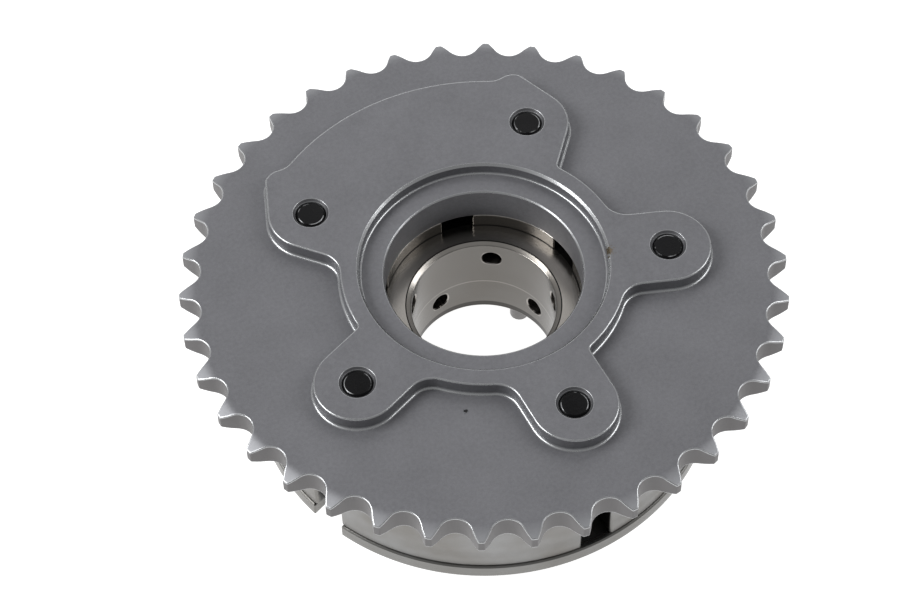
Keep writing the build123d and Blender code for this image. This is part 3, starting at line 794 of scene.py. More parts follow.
def plateau_path(plateau, housing):
    """Outline of the plateau: the raised sector's left half, the lobes with a valley on each
    side and arcs of the ring between them, and the sector's right half."""
    angles = screw_angles(housing)
    screws = [polar(housing.screw_circle, angle) for angle in angles]
    facet_angle = angles[0] + plateau.facet_turn
    half = sector_path(plateau, screws[0], polar(1, facet_angle))
    wide, tight = plateau.valley_fillet, plateau.tight_valley_fillet
    left_fillets = [wide, wide, tight, wide]
    right_fillets = [tight, wide, wide, tight]
    pieces = [half, arc(screws[0], plateau.lobe_radius, facet_angle, angles[0] + np.pi / 2)]
    for number in range(4):
        valley_in = valley_arc(plateau, angles[number], 1, left_fillets[number])
        valley_out = valley_arc(plateau, angles[number + 1], -1, right_fillets[number])
        ring = arc((0, 0), plateau.ring_radius, bearing(valley_in[-1]), bearing(valley_out[0]))
        first = angles[number + 1] - np.pi / 2
        last = first + np.pi if number < 3 else np.pi - facet_angle
        lobe = arc(screws[number + 1], plateau.lobe_radius, first, last)
        pieces += [valley_in, ring, valley_out, lobe]
    pieces.append(half[::-1] * np.array([-1, 1, -1, 1]))
    return supported(np.vstack(pieces))


def track_path(rotor):
    """Outline of the lock pin's track: an arc-shaped slot with round ends."""
    first = wide_vane_angle(rotor) - rotor.track_room
    last = wide_vane_angle(rotor) + rotor.travel + rotor.track_room
    width = rotor.track_radius
    return np.vstack([
        arc((0, 0), rotor.pin_circle + width, first, last),
        arc(polar(rotor.pin_circle, last), width, last, last + np.pi),
        arc((0, 0), rotor.pin_circle - width, last, first, left=False),
        arc(polar(rotor.pin_circle, first), width, first + np.pi, first + 2 * np.pi),
    ])


def hole_walls(housing, rows):
    """A like hole's wall at each screw."""
    return [revolved(rows, HOLE_POINTS, polar(housing.screw_circle, angle))
            for angle in screw_angles(housing)]


def sprocket_mesh(settings):
    """Toothed plate with its boss, plateau and bores as one closed shell."""
    teeth, plateau, housing, rotor = (settings.teeth, settings.plateau, settings.housing,
                                      settings.rotor)
    bottom, top = levels("sprocket")
    plate_top = top - plateau.height
    floor = top - plateau.counterbore_depth
    edge, crisp = plateau.edge, plateau.crisp
    rim = rim_grid(teeth, plateau, bottom, plate_top - teeth.plate_thickness)
    # The plateau's concave foot fillet gets a positive radius: a painted highlight line along it
    raised = wall(plateau_path(plateau, housing), section(
        [(2 * plateau.foot, plate_top), (0, plate_top), (0, top), (-2 * edge, top)],
        [plateau.foot, edge], steps=4))
    mouth, mouth_edge = plateau.counterbore_radius, plateau.counterbore_edge
    # The counterbore's concave floor corner and both chamfer faces carry painted highlights
    bore = revolved(section(
        [(mouth + 2 * mouth_edge, top), (mouth + mouth_edge, top), (mouth, top - mouth_edge),
         (mouth, floor), (plateau.bore_radius + plateau.bore_edge, floor),
         (plateau.bore_radius, floor - plateau.bore_edge), (plateau.bore_radius, bottom),
         (plateau.bore_radius + 4 * crisp, bottom)],
        [crisp, crisp, plateau.counterbore_corner, crisp, crisp, crisp],
        flats={1: 1, 4: 1}), BORE_POINTS)
    hole, hole_edge = plateau.tapped_radius, plateau.tapped_edge
    # The screw holes' chamfer faces carry painted shade
    holes = hole_walls(housing, section(
        [(hole + hole_edge + 3 * crisp, top), (hole + hole_edge, top), (hole, top - hole_edge),
         (hole, bottom), (hole + 3 * crisp, bottom)], [crisp, plateau.tapped_lip, crisp],
        flats={1: -1}))
    track_end = bottom + rotor.track_depth
    track = wall(supported(track_path(rotor)), section(
        [(3 * crisp, bottom), (0, bottom), (0, track_end), (-4 * crisp, track_end)],
        [crisp, -crisp]))
    return build_mesh("sprocket", [
        strip(rim), strip(raised), strip(bore), strip(track), *map(strip, holes),
        cap(rim[-1], raised[0]),
        cap(raised[-1], bore[0], *(grid[0] for grid in holes)),
        cap(rim[0], bore[-1], track[0], *(grid[-1] for grid in holes)),
        cap(track[-1]),
    ])


# Shapes of the rotor, its dowel and the lock pin's spring


def vane_path(rotor, slot_width, root, side_way, tip, cut):
    """Outline of a vane that points along +X, from hub to hub, with the seal's slot in its tip.
    The upper half goes from the slot's floor by way of the tip's corner to the root. A cut that
    isn't nothing takes the tip's corner off by a flat that reaches as far each way."""
    edge = rotor.upright_edge
    mouth = on_circle(rotor.vane_radius, slot_width / 2)
    slot_corner = np.array([rotor.slot_floor, slot_width / 2])
    slot = [corner(slot_corner, ASIDE, AHEAD, edge), corner(mouth, AHEAD, tangent(mouth), edge)]
    last = bearing(tip) - max(cut, CORNER_ROOM * edge) / rotor.vane_radius
    if cut:
        start = polar(rotor.vane_radius, last)
        tip_corners = cut_corner(start, tip + side_way * cut, tangent(start), side_way, edge)
    else:
        tip_corners = [corner(tip, tangent(tip), side_way, edge)]
    land = arc((0, 0), rotor.vane_radius, bearing(slot[-1][-1]) + JOIN_TURN, last - JOIN_TURN)
    root_corner = corner(root, side_way, tangent(root), edge)
    return with_mirror(np.vstack([*slot, land, *tip_corners, root_corner]))


def rotor_path(settings):
    """Outline of the rotor. A narrow vane's sides run between its widths at root and tip; a
    wide vane's sides lie along the webs that stop them."""
    rotor, housing = settings.rotor, settings.housing
    root = on_circle(rotor.hub_radius, rotor.vane_root_width / 2)
    tip = on_circle(rotor.vane_radius, rotor.vane_tip_width / 2)
    narrow = vane_path(rotor, housing.slot_width, root, unit(root - tip), tip, 0)
    stop = sector_half(housing) - rotor.travel / 2
    web, beside = polar(1, stop), -left_of(polar(1, stop))
    root, tip = (beside_line(beside, rotor.stop_offset, radius, web)
                 for radius in (rotor.hub_radius, rotor.vane_radius))
    wide = vane_path(rotor, housing.slot_width, root, -web, tip, rotor.wide_corner)
    vanes = [turned(wide, wide_vane_angle(rotor))]
    vanes += [turned(narrow, angle) for angle in narrow_vane_angles(settings)]
    return joined(vanes, rotor.hub_radius)


def recess_path(rotor):
    """Outline of the recess: a circle with square-ended notches, the first at the wide vane."""
    mouth = on_circle(rotor.seat_radius, rotor.notch_width / 2)
    end = np.array([rotor.notch_radius, rotor.notch_width / 2])
    notch = with_mirror(np.vstack([
        corner(end, ASIDE, -AHEAD, rotor.notch_corner),
        corner(mouth, -AHEAD, tangent(mouth), rotor.mouth_corner),
    ]))
    turns = 2 * np.pi * np.arange(rotor.notch_count) / rotor.notch_count
    return repeated(notch, wide_vane_angle(rotor) + turns, rotor.seat_radius)


def oil_holes(settings, bottom, top):
    """Angle and height of each oil hole: an upper one before and a lower one after each vane."""
    rotor = settings.rotor
    vanes = [(wide_vane_angle(rotor), rotor.wide_oil_turn)]
    vanes += [(angle, rotor.oil_turn) for angle in narrow_vane_angles(settings)]
    upper = [(vane - aside, top - rotor.upper_drop) for vane, aside in vanes]
    return upper + [(vane + aside, bottom + rotor.lower_rise) for vane, aside in vanes]


def with_hole_rows(rows, heights, room):
    """The rising section with even rows added on its long upright stretch, round the holes."""
    added = np.concatenate([np.linspace(height - room, height + room, HOLE_ROWS)
                            for height in heights])
    tall = np.argmax(np.diff(rows[:, 1]))
    extra = np.column_stack([np.full_like(added, rows[tall, 0]), added, np.zeros_like(added)])
    return np.vstack([rows[:tall + 1], extra, rows[tall + 1:]])


def pin_place(rotor):
    """Middle of the lock pin's bore."""
    return polar(rotor.pin_circle, wide_vane_angle(rotor))


def dowel_place(rotor):
    """Middle of the dowel."""
    return polar(rotor.dowel_circle, wide_vane_angle(rotor) + rotor.dowel_turn)


def rotor_mesh(settings):
    """Hub with five vanes, the recess with its notches, and the bore with its oil holes."""
    rotor = settings.rotor
    bottom, top = levels("rotor")
    seat, lip = top - rotor.seat_depth, top - rotor.lip
    edge, bore, chamfer = rotor.edge, rotor.bore_radius, rotor.chamfer_width
    holes = oil_holes(settings, bottom, top)
    mouth_radius = rotor.oil_radius + rotor.oil_edge
    hole_rows = [bottom + rotor.lower_rise, top - rotor.upper_drop], mouth_radius + MM / 2
    outside = wall(rotor_path(settings), with_hole_rows(
        plain_section(0, bottom, top, edge, -past(edge)), *hole_rows))
    # The seat's concave corner carries painted shade
    recess = wall(recess_path(rotor), section(
        [(-past(rotor.seat_corner), seat), (0, seat), (0, top), (past(rotor.mouth_edge), top)],
        [-rotor.seat_corner, rotor.mouth_edge]))
    # The bore's chamfer face carries a faint painted highlight, and the corner beside it painted
    # shade
    inside = revolved(with_hole_rows(section(
        [(bore + rotor.foot_chamfer + 4 * edge, bottom), (bore + rotor.foot_chamfer, bottom),
         (bore, bottom + rotor.foot_chamfer), (bore, seat - rotor.chamfer_depth),
         (bore + chamfer, seat), (bore + chamfer + 4 * edge, seat)],
        [edge, edge, edge, -rotor.chamfer_rim], flats={3: 0.2}), *hole_rows), BORE_POINTS)
    pin_radius, nose_radius = rotor.pin_bore_radius, rotor.nose_bore_radius
    pin_bore = revolved(section(
        [(pin_radius + 3 * edge, bottom), (pin_radius, bottom), (pin_radius, lip),
         (nose_radius, lip), (nose_radius, top), (nose_radius + 3 * edge, top)],
        [edge, -edge / 2, edge, edge]), HOLE_POINTS, pin_place(rotor))
    dowel_radius, dowel_end = rotor.dowel_seat_radius, bottom + rotor.dowel_depth
    dowel_hole = revolved(section(
        [(dowel_radius + 3 * edge, bottom), (dowel_radius, bottom), (dowel_radius, dowel_end),
         (dowel_radius - 3 * edge, dowel_end)], [edge, -edge]), DOWEL_POINTS,
        dowel_place(rotor))
    rings = [(bore, 0, mouth_radius, 1), (bore, rotor.oil_edge, rotor.oil_radius, 1),
             (bore, rotor.oil_edge + SUPPORT, rotor.oil_radius, 0),
             (rotor.hub_radius, -rotor.oil_edge, rotor.oil_radius, 0),
             (rotor.hub_radius, 0, mouth_radius, 1)]
    return build_mesh("rotor", [
        *pierced(inside, outside, bore, rotor.hub_radius, holes, rings),
        strip(recess), strip(pin_bore), strip(dowel_hole),
        cap(outside[-1], recess[-1], pin_bore[-1]),
        cap(recess[0], inside[-1]),
        cap(outside[0], inside[0], pin_bore[0], dowel_hole[0]),
        cap(dowel_hole[-1]),
    ])


def dowel_mesh(settings):
    """Dowel: its free end with a chamfer, and its thicker end that sits in the rotor."""
    rotor = settings.rotor
    bottom, top = levels("rotor_dowel")
    free, seated, edge = rotor.dowel_radius, rotor.dowel_seat_radius, rotor.dowel_edge
    shoulder, soft = top - rotor.dowel_depth, rotor.edge / 2
    body = revolved(section(
        [(free - 2 * edge, bottom), (free - edge, bottom), (free, bottom + edge),
         (free, shoulder), (seated, shoulder), (seated, top), (seated - edge, top)],
        [2 * soft, 2 * soft, -soft, soft, soft]), DOWEL_POINTS, dowel_place(rotor))
    return build_mesh("rotor_dowel", [strip(body), cap(body[0]), cap(body[-1])])


def spring_mesh(settings):
    """Spring of the lock pin: a round wire along a helix. A point lies the wire's radius from
    the helix, along a circle between the way out and the way square to it and to the wire."""
    rotor = settings.rotor
    wire, coil = rotor.spring_wire / 2, rotor.spring_radius
    bottom, top = levels("lock_pin_spring")
    height = top - bottom - 2 * wire
    middle = pin_place(rotor)
    steps = COIL_POINTS * rotor.spring_turns
    turns = np.linspace(0, 2 * np.pi * rotor.spring_turns, steps + 1)[:, None]
    lean = np.arctan(height / (turns[-1, 0] * coil))
    around = np.linspace(0, 2 * np.pi, WIRE_POINTS, endpoint=False)[None]
    out = coil + wire * np.cos(around)
    along = -wire * np.sin(around) * np.sin(lean)
    x = middle[0] + out * np.cos(turns) - along * np.sin(turns)
    y = middle[1] + out * np.sin(turns) + along * np.cos(turns)
    z = bottom + wire + height * turns / turns[-1] + wire * np.sin(around) * np.cos(lean)
    grid = np.stack([x, y, z, np.zeros_like(z)], axis=2)
    end = np.arange(around.size)[None]
    return build_mesh("lock_pin_spring", [strip(grid), (grid[0], end), (grid[-1], end)])


# Shapes of the housing


def stator_outline(housing):
    """Outside of the stator: a circle with a pocket outside each web."""
    half, edge = housing.pocket_width / 2, housing.pocket_edge
    floor = np.array([housing.outer_radius - housing.pocket_depth, half])
    start = on_circle(housing.outer_radius, half) - AHEAD * edge
    end = on_circle(housing.outer_radius, half + edge)
    pocket = with_mirror(np.vstack([
        corner(floor, ASIDE, AHEAD, housing.pocket_corner),
        *cut_corner(start, end, AHEAD, tangent(end), 1.1 * edge),
    ]))
    return repeated(pocket, screw_angles(housing), housing.outer_radius)


def cavity_outline(housing):
    """Inside of the stator: the chambers' circle with five webs, each cut off at its corners
    and slotted for its seal."""
    half, edge, cut = housing.web_width / 2, housing.upright_edge, housing.web_corner
    slot_corner = np.array([housing.slot_floor, housing.slot_width / 2])
    mouth = on_circle(housing.web_tip_radius, housing.slot_width / 2)
    tip = on_circle(housing.web_tip_radius, half)
    last = bearing(tip) - cut / housing.web_tip_radius
    start = polar(housing.web_tip_radius, last)
    fillet = housing.chamber_fillet
    fillet_centre = on_circle(housing.chamber_radius - fillet, half + fillet)
    mouth_corner = corner(mouth, -AHEAD, tangent(mouth), edge)
    web = with_mirror(np.vstack([
        corner(slot_corner, ASIDE, -AHEAD, edge),
        mouth_corner,
        arc((0, 0), housing.web_tip_radius, bearing(mouth_corner[-1]) + JOIN_TURN,
            last - 2 * JOIN_TURN),
        *cut_corner(start, tip + AHEAD * cut, tangent(start), AHEAD, edge),
        bend(fillet_centre, fillet, -ASIDE, fillet_centre),
    ]))
    return repeated(web, screw_angles(housing), housing.chamber_radius)


def ring_mesh(name, housing, outside, inside):
    """Flat-ended ring with screw holes from its outer wall, given upwards, and its inner wall,
    given down."""
    bottom, top = levels(name)
    holes = hole_walls(housing, plain_section(housing.hole_radius, top, bottom, housing.edge,
                                              3 * housing.edge))
    return build_mesh(name, [
        strip(outside), strip(inside), *map(strip, holes),
        cap(outside[-1], inside[0], *(grid[0] for grid in holes)),
        cap(outside[0], inside[-1], *(grid[-1] for grid in holes)),
    ])


def stator_mesh(settings):
    """Ring with webs, pockets and screw holes."""
    housing = settings.housing
    bottom, top = levels("stator")
    edge, cut = housing.edge, housing.rim_chamfer
    outside = wall(stator_outline(housing), section(
        [(-past(cut), bottom), (-cut, bottom), (0, bottom + cut), (0, top),
         (-past(edge), top)], [edge / 2, edge / 2, edge]))
    inside = wall(cavity_outline(housing), plain_section(0, top, bottom, edge, past(edge)))
    return ring_mesh("stator", housing, outside, inside)


def cover_mesh(settings):
    """Flat ring with screw holes and one notch in its rim."""
    housing = settings.housing
    bottom, top = levels("front_cover")
    edge, cut = housing.edge, housing.rim_chamfer
    floor = np.array([housing.cover_radius - housing.notch_depth, housing.notch_width / 2])
    mouth = on_circle(housing.cover_radius, housing.notch_width / 2)
    notch = with_mirror(np.vstack([
        corner(floor, ASIDE, AHEAD, housing.pocket_corner),
        corner(mouth, AHEAD, tangent(mouth), housing.upright_edge),
    ]))
    notch_angle = screw_angles(housing)[housing.notch_index]
    outside = wall(repeated(notch, [notch_angle], housing.cover_radius), section(
        [(-past(edge), bottom), (0, bottom), (0, top - cut), (-cut, top), (-past(cut), top)],
        [edge, edge / 2, edge / 2]))
    inside = revolved(plain_section(housing.cover_bore_radius, top, bottom, edge, 3 * edge),
                      COVER_POINTS)
    return ring_mesh("front_cover", housing, outside, inside)


def screw_mesh(settings, number):
    """Cover screw: head with a hexagon socket below, plain shank with a chamfered end."""
    sizes, housing = settings.screws, settings.housing
    bottom, top = levels(SCREWS[number])
    place = polar(housing.screw_circle, screw_angles(housing)[number])
    head, shank, edge, cut = (sizes.head_radius, sizes.shank_radius, sizes.edge,
                              sizes.end_chamfer)
    body = revolved(section(
        [(head - 3 * edge, bottom), (head, bottom), (head, bottom + sizes.head_height),
         (shank, bottom + sizes.head_height), (shank, top - cut), (shank - cut, top),
         (shank - 3 * cut, top)], [edge, edge, -edge / 2, edge / 2, edge / 2]),
        SCREW_POINTS, place)
    ways = list(ways_out(np.pi / 3 * np.arange(6)))
    reach = sizes.socket / 2 / np.cos(np.pi / 6)
    hexagon = np.vstack([
        corner(unit(way + following) * reach, left_of(way), left_of(following), edge)
        for way, following in zip(ways, ways[1:] + ways[:1])])
    hexagon[:, :2] += place
    socket_top = bottom + sizes.socket_depth
    socket = wall(supported(hexagon), section(
        [(edge, bottom), (0, bottom), (0, socket_top), (-past(edge / 3), socket_top)],
        [edge / 3, -edge / 3]))
    return build_mesh(SCREWS[number], [
        strip(body), strip(socket), cap(body[-1]), cap(body[0], socket[0]), cap(socket[-1]),
    ])


# Shader nodes


def feed(tree, sockets, values):
    """Sets named sockets to values, or links them to the sockets that feed them."""
    for name, value in values.items():
        if isinstance(value, bpy.types.NodeSocket):
            tree.links.new(value, sockets[name])
        else:
            sockets[name].default_value = value


def add_node(tree, kind, inputs=None, **settings):
    """Adds a shader node with its inputs and settings."""
    node = tree.nodes.new("ShaderNode" + kind)
    for name, value in settings.items():
        setattr(node, name, value)
    feed(tree, node.inputs, inputs or {})
    return node


def calculate(tree, operation, *values):
    """Output of a Math node, or of a row of them that takes in more than two values."""
    while len(values) > 2:
        values = calculate(tree, operation, *values[:2]), *values[2:]
    return add_node(tree, "Math", dict(enumerate(values)), operation=operation).outputs[0]


def product(tree, *values):
    """All the values multiplied."""
    return calculate(tree, "MULTIPLY", *values)


def apart(tree, value, place):
    """How far a value lies from a place, either way."""
    return calculate(tree, "ABSOLUTE", calculate(tree, "SUBTRACT", value, place))


def spread(tree, value, low, high, new_low=0.0, new_high=1.0):
    """Output of a Map Range node that clamps."""
    return add_node(tree, "MapRange", {"Value": value, "From Min": low, "From Max": high,
                                       "To Min": new_low, "To Max": new_high}).outputs[0]


def noise(tree, place, scale, detail, dimensions="3D"):
    """Output of a noise texture."""
    return add_node(tree, "TexNoise", {"Vector": place, "Scale": scale, "Detail": detail},
                    noise_dimensions=dimensions).outputs[0]


def bump(tree, height, distance, strength):
    """Normal from a height."""
    return add_node(tree, "Bump", {"Height": height, "Distance": distance,
                                   "Strength": strength}).outputs[0]


def opaque(colour_values):
    """Colour with full alpha, held at white."""
    return (*np.minimum(colour_values, 1), 1.0)


def blended(tree, factor, first, second):
    """Output of a mix of two colours, which are given as numbers or as sockets."""
    first, second = (value if isinstance(value, bpy.types.NodeSocket) else opaque(value)
                     for value in (first, second))
    return add_node(tree, "Mix", {0: factor, 6: first, 7: second}, data_type="RGBA").outputs[2]


def object_place(tree):
    """Object coordinates."""
    return add_node(tree, "TexCoord").outputs["Object"]


def radius_and_height(tree):
    """Distance from the axis and height, worked out from Object coordinates."""
    x, y, z = add_node(tree, "SeparateXYZ", {0: object_place(tree)}).outputs
    squares = calculate(tree, "ADD", product(tree, x, x), product(tree, y, y))
    return calculate(tree, "SQRT", squares), z


def node_group(name, inputs, outputs):
    """New shader node group with plain number sockets: its tree, the sockets that bring the
    inputs and those that take the outputs."""
    tree = bpy.data.node_groups.new(name, "ShaderNodeTree")
    for socket, default in inputs.items():
        made = tree.interface.new_socket(socket, in_out="INPUT", socket_type="NodeSocketFloat")
        made.default_value = default
    for socket in outputs:
        tree.interface.new_socket(socket, in_out="OUTPUT", socket_type="NodeSocketFloat")
    given, result = tree.nodes.new("NodeGroupInput"), tree.nodes.new("NodeGroupOutput")
    return tree, given.outputs, result.inputs


def use_group(tree, name, **values):
    """A group's outputs, in a material, with its inputs set."""
    node = add_node(tree, "Group")
    node.node_tree = bpy.data.node_groups[name]
    feed(tree, node.inputs, values)
    return node.outputs


def grain_group():
    """Fine grain of sintered or blasted metal: two sizes of noise as a height, and a slow
    mottle as a shade."""
    tree, given, result = node_group("metal_grain", {"Fine": 4000, "Coarse": 900, "Mottle": 60},
                                     ["Height", "Shade"])
    place = object_place(tree)
    height = calculate(tree, "ADD", noise(tree, place, given["Fine"], 2),
                       noise(tree, place, given["Coarse"], 3))
    feed(tree, result, {"Height": height, "Shade": noise(tree, place, given["Mottle"], 4)})


def turning_group():
    """Marks of a turning or grinding tool: noise along the distance from the axis and the
    height, the same all the way round."""
    tree, given, result = node_group("turning_marks", {"Lines": 4000}, ["Height", "Shade"])
    radius, z = radius_and_height(tree)
    along = add_node(tree, "CombineXYZ", {0: radius, 1: z}).outputs[0]
    broad = product(tree, given["Lines"], 0.15)
    feed(tree, result, {"Height": noise(tree, along, given["Lines"], 2, "2D"),
                        "Shade": noise(tree, along, broad, 2, "2D")})


def wear_and_light_group():
    """Masks of rubbed edges with painted highlights, and of painted shade in concave corners and
    on some chamfer faces: the mesh's attribute above and below nothing, the former broken up by
    noise."""
    tree, given, result = node_group("edge_wear_and_painted_light", {"Amount": 1, "Breaks": 700},
                                     ["Mask", "PaintedShade"])
    bare_and_painted_light = add_node(tree, "Attribute", attribute_name="bare_and_painted_light").outputs["Fac"]
    broken = spread(tree, noise(tree, object_place(tree), given["Breaks"], 2), 0.3, 0.6, 0.75)
    # PaintedShade is painted shade in concave corners and on some dark chamfer faces
    feed(tree, result, {"Mask": product(tree, bare_and_painted_light, broken, given["Amount"]),
                        "PaintedShade": spread(tree, bare_and_painted_light, 0, -1)})


# Finishes


def new_material(name):
    """Material with a principled shader, its node tree and the shader's inputs."""
    material = bpy.data.materials.new(name)
    material.use_nodes = True
    tree = material.node_tree
    tree.nodes.clear()
    shader = add_node(tree, "BsdfPrincipled")
    tree.links.new(shader.outputs[0], add_node(tree, "OutputMaterial").inputs[0])
    return tree, shader.inputs


def near(tree, point, reach):
    """Mask of what lies near a point, with a ragged border."""
    place = object_place(tree)
    distance = add_node(tree, "VectorMath", {0: place, 1: point}, operation="DISTANCE")
    ragged = product(tree, distance.outputs["Value"],
                     spread(tree, noise(tree, place, 2500, 2), 0.35, 0.65, 0.6, 1.6))
    return spread(tree, ragged, reach, 0.7 * reach)


def sprocket_steel(settings):
    """Tumbled sintered steel: dull grey, finely speckled, rubbed lighter towards the teeth's tips,
    with painted shade tinted brown on the teeth's upright sides, bare edges with painted
    highlights on some fillets and chamfers, and painted shade in its concave corners."""
    colours, teeth, marks = settings.colours, settings.teeth, settings.marks
    tree, shader = new_material("sprocket_steel")
    grain = use_group(tree, "metal_grain", Fine=5000, Coarse=1400, Mottle=110)
    wear_and_light = use_group(tree, "edge_wear_and_painted_light", Amount=0.8, Breaks=500)
    base = np.array(colours.sprocket)
    radius = radius_and_height(tree)[0]
    facing = add_node(tree, "TexCoord").outputs["Normal"]
    upward = calculate(tree, "ABSOLUTE", add_node(tree, "SeparateXYZ", {0: facing}).outputs[2])
    tip_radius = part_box("sprocket")[1].x
    relief = product(tree, spread(tree, radius, teeth.ground_radius, tip_radius),
                     spread(tree, upward, 0.7, 0.85))
    # Mask of painted shade on the teeth's upright sides, picked by how the faces point
    flank = product(tree, spread(tree, radius, teeth.clear_radius, teeth.clear_radius + MM),
                    spread(tree, upward, 0.5, 0.2))
    speckled = calculate(tree, "ADD", spread(tree, grain["Shade"], 0, 1, 0, 0.6),
                         spread(tree, grain["Height"], 0.75, 1.25, 0, 0.4))
    shade = blended(tree, speckled, base * 0.78, base * 1.22)
    top = levels("sprocket")[1]
    plate_top = top - settings.plateau.height
    for mask, over in (
        (relief, colours.relief),
        # Painted shade on the teeth's upright sides, tinted brown
        (flank, base * (0.72, 0.69, 0.65)),
        # Painted shade in concave corners and on some chamfer faces
        (wear_and_light["PaintedShade"], base * 0.45),
        # Bare edges, and painted highlights on some fillets and chamfers
        (wear_and_light["Mask"], colours.bare_and_painted_light),
        (near(tree, (*marks.stain, top), marks.stain_reach), colours.stain),
        (near(tree, (*marks.speck, plate_top), marks.speck_reach), base * 0.08),
    ):
        shade = blended(tree, mask, shade, over)
    rubbed = product(tree, calculate(tree, "SUBTRACT", grain["Height"], 1),
                     spread(tree, wear_and_light["Mask"], 0, 1, 1, 0.2))
    feed(tree, shader, {
        "Base Color": shade,
        "Metallic": spread(tree, wear_and_light["Mask"], 0, 1, 0.45, 1),
        "Roughness": spread(tree, wear_and_light["Mask"], 0, 1, 0.5, 0.2),
        "Normal": bump(tree, rubbed, 0.012 * MM, 0.6),
    })


def turned_metal(name, base, roughness, lines=4000, darken=None, film=0):
    """Turned or ground metal with marks round the axis, bright edges that are bare metal and in
    places painted highlight, and painted shade in concave corners. Darken gives the mask of its
    painted shade, and film is the strength of a brownish film of oil in clouds."""
    tree, shader = new_material(name)
    marks = use_group(tree, "turning_marks", Lines=lines)
    wear_and_light = use_group(tree, "edge_wear_and_painted_light", Amount=0.6, Breaks=400)
    base = np.array(base)
    shade = blended(tree, marks["Shade"], base * 0.88, base * 1.1)
    if film:
        clouds = use_group(tree, "metal_grain", Mottle=90)["Shade"]
        shade = blended(tree, spread(tree, clouds, 0.35, 0.65, 0, film), shade,
                        base * (0.62, 0.57, 0.50))
    # Painted shade, nearly black, in concave corners
    shade = blended(tree, wear_and_light["PaintedShade"], shade, base * 0.05)
    # Painted shade from the darken mask
    if darken:
        shade = blended(tree, darken(tree), shade, base * 0.08)
    feed(tree, shader, {
        "Base Color": blended(tree, wear_and_light["Mask"], shade, base * 1.35),
        "Metallic": 1.0,
        "Roughness": spread(tree, marks["Shade"], 0.3, 0.7, roughness * 0.85, roughness * 1.15),
        "Anisotropic": 0.6,
        "Anisotropic Rotation": 0.25,
        "Tangent": add_node(tree, "Tangent", direction_type="RADIAL", axis="Z").outputs[0],
        "Normal": bump(tree, marks["Height"], 0.003 * MM, 0.5),
    })


def in_pockets(tree):
    """Mask of the painted shade in the stator's pockets, which lie deeper than its turned outside.
    """
    housing = bpy.context.scene.cam_phaser.housing
    mouth = housing.outer_radius - housing.pocket_edge
    return spread(tree, radius_and_height(tree)[0], mouth, mouth - 0.8 * MM, 0, 0.75)


def rotor_shade(tree):
    """Mask of the rotor's painted shade: the notches of the recess and a band at the foot of the
    bore, and less so the recess, its wall and the bore, apart from the fine line round it."""
    rotor = bpy.context.scene.cam_phaser.rotor
    bottom, top = levels("rotor")
    seat, foot = top - rotor.seat_depth, bottom + rotor.foot_chamfer + rotor.foot_band
    radius, z = radius_and_height(tree)
    soft = 0.1 * MM
    notch = product(
        tree, spread(tree, radius, rotor.seat_radius + soft, rotor.seat_radius + 3 * soft),
        spread(tree, radius, rotor.hub_radius - 5 * soft, rotor.hub_radius - 10 * soft),
        spread(tree, z, seat - soft, seat),
        spread(tree, z, top - 2 * soft, top - 4 * soft, 0, 0.88))
    recess_wall = product(
        tree, spread(tree, apart(tree, radius, rotor.seat_radius), soft, soft / 2),
        spread(tree, z, seat, seat + soft),
        spread(tree, z, top - 2 * soft, top - 4 * soft, 0, 0.6))
    on_seat = product(
        tree, spread(tree, apart(tree, z, seat), soft / 2, soft / 4),
        spread(tree, radius, rotor.hub_radius, rotor.seat_radius, 0, 0.3))
    foot_band = spread(tree, z, foot, foot - 3 * soft, 0, 0.9)
    off_line = spread(tree, apart(tree, z, bottom + rotor.line_height), soft, 2 * soft, 0.35, 0.62)
    bore = product(
        tree, spread(tree, radius, rotor.bore_radius + 2 * soft, rotor.bore_radius + soft),
        calculate(tree, "MAXIMUM", foot_band, off_line))
    return calculate(tree, "MAXIMUM", notch, recess_wall, on_seat, bore)


def black_oxide(colours):
    """Blackened steel with a film of oil, rubbed bare here and there on its edges, which carry
    painted glints.
    """
    tree, shader = new_material("screw_black")
    grain = use_group(tree, "metal_grain", Fine=6000, Coarse=1800, Mottle=300)
    wear_and_light = use_group(tree, "edge_wear_and_painted_light", Amount=0.8, Breaks=900)
    base = np.array(colours.screw)
    oxide = blended(tree, grain["Shade"], base * 0.6, base * 1.8)
    # Painted glints on the edges, laid where they are rubbed bare
    glints = product(tree, wear_and_light["Mask"], spread(tree, grain["Shade"], 0.5, 0.58))
    feed(tree, shader, {
        "Base Color": blended(tree, glints, oxide, colours.bare_and_painted_light),
        "Metallic": 0.6,
        "Specular IOR Level": 0.3,
        "Roughness": spread(tree, grain["Shade"], 0.3, 0.7, 0.2, 0.38),
        "Normal": bump(tree, grain["Height"], 0.02 * MM, 0.6),
    })


def moulded_seal(colours):
    """Filled plastic of the seals."""
    tree, shader = new_material("seal_plastic")
    grain = use_group(tree, "metal_grain", Fine=6000, Coarse=1500, Mottle=200)
    base = np.array(colours.seal)
    feed(tree, shader, {
        "Base Color": blended(tree, grain["Shade"], base * 0.8, base * 1.3),
        "Roughness": 0.5,
        "Normal": bump(tree, grain["Height"], 0.01 * MM, 0.5),
    })


def make_finishes(settings):
    """Makes the node groups and all finishes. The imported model's own materials are renamed
    first, so that the finishes' names are free."""
    for packed in list(bpy.data.materials):
        packed.name = f"packed_{packed.name}"
    grain_group()
    turning_group()
    wear_and_light_group()
    colours = settings.colours
    sprocket_steel(settings)
    turned_metal("stator_aluminium", colours.stator, 0.38, darken=in_pockets, film=0.6)
    turned_metal("cover_steel", colours.cover, 0.3, film=0.4)
    turned_metal("rotor_steel", colours.rotor, 0.22, darken=rotor_shade, film=0.25)
    turned_metal("pin_steel", colours.pin, 0.25)
    turned_metal("spring_steel", colours.spring, 0.3, lines=9000)
    black_oxide(colours)
    moulded_seal(colours)


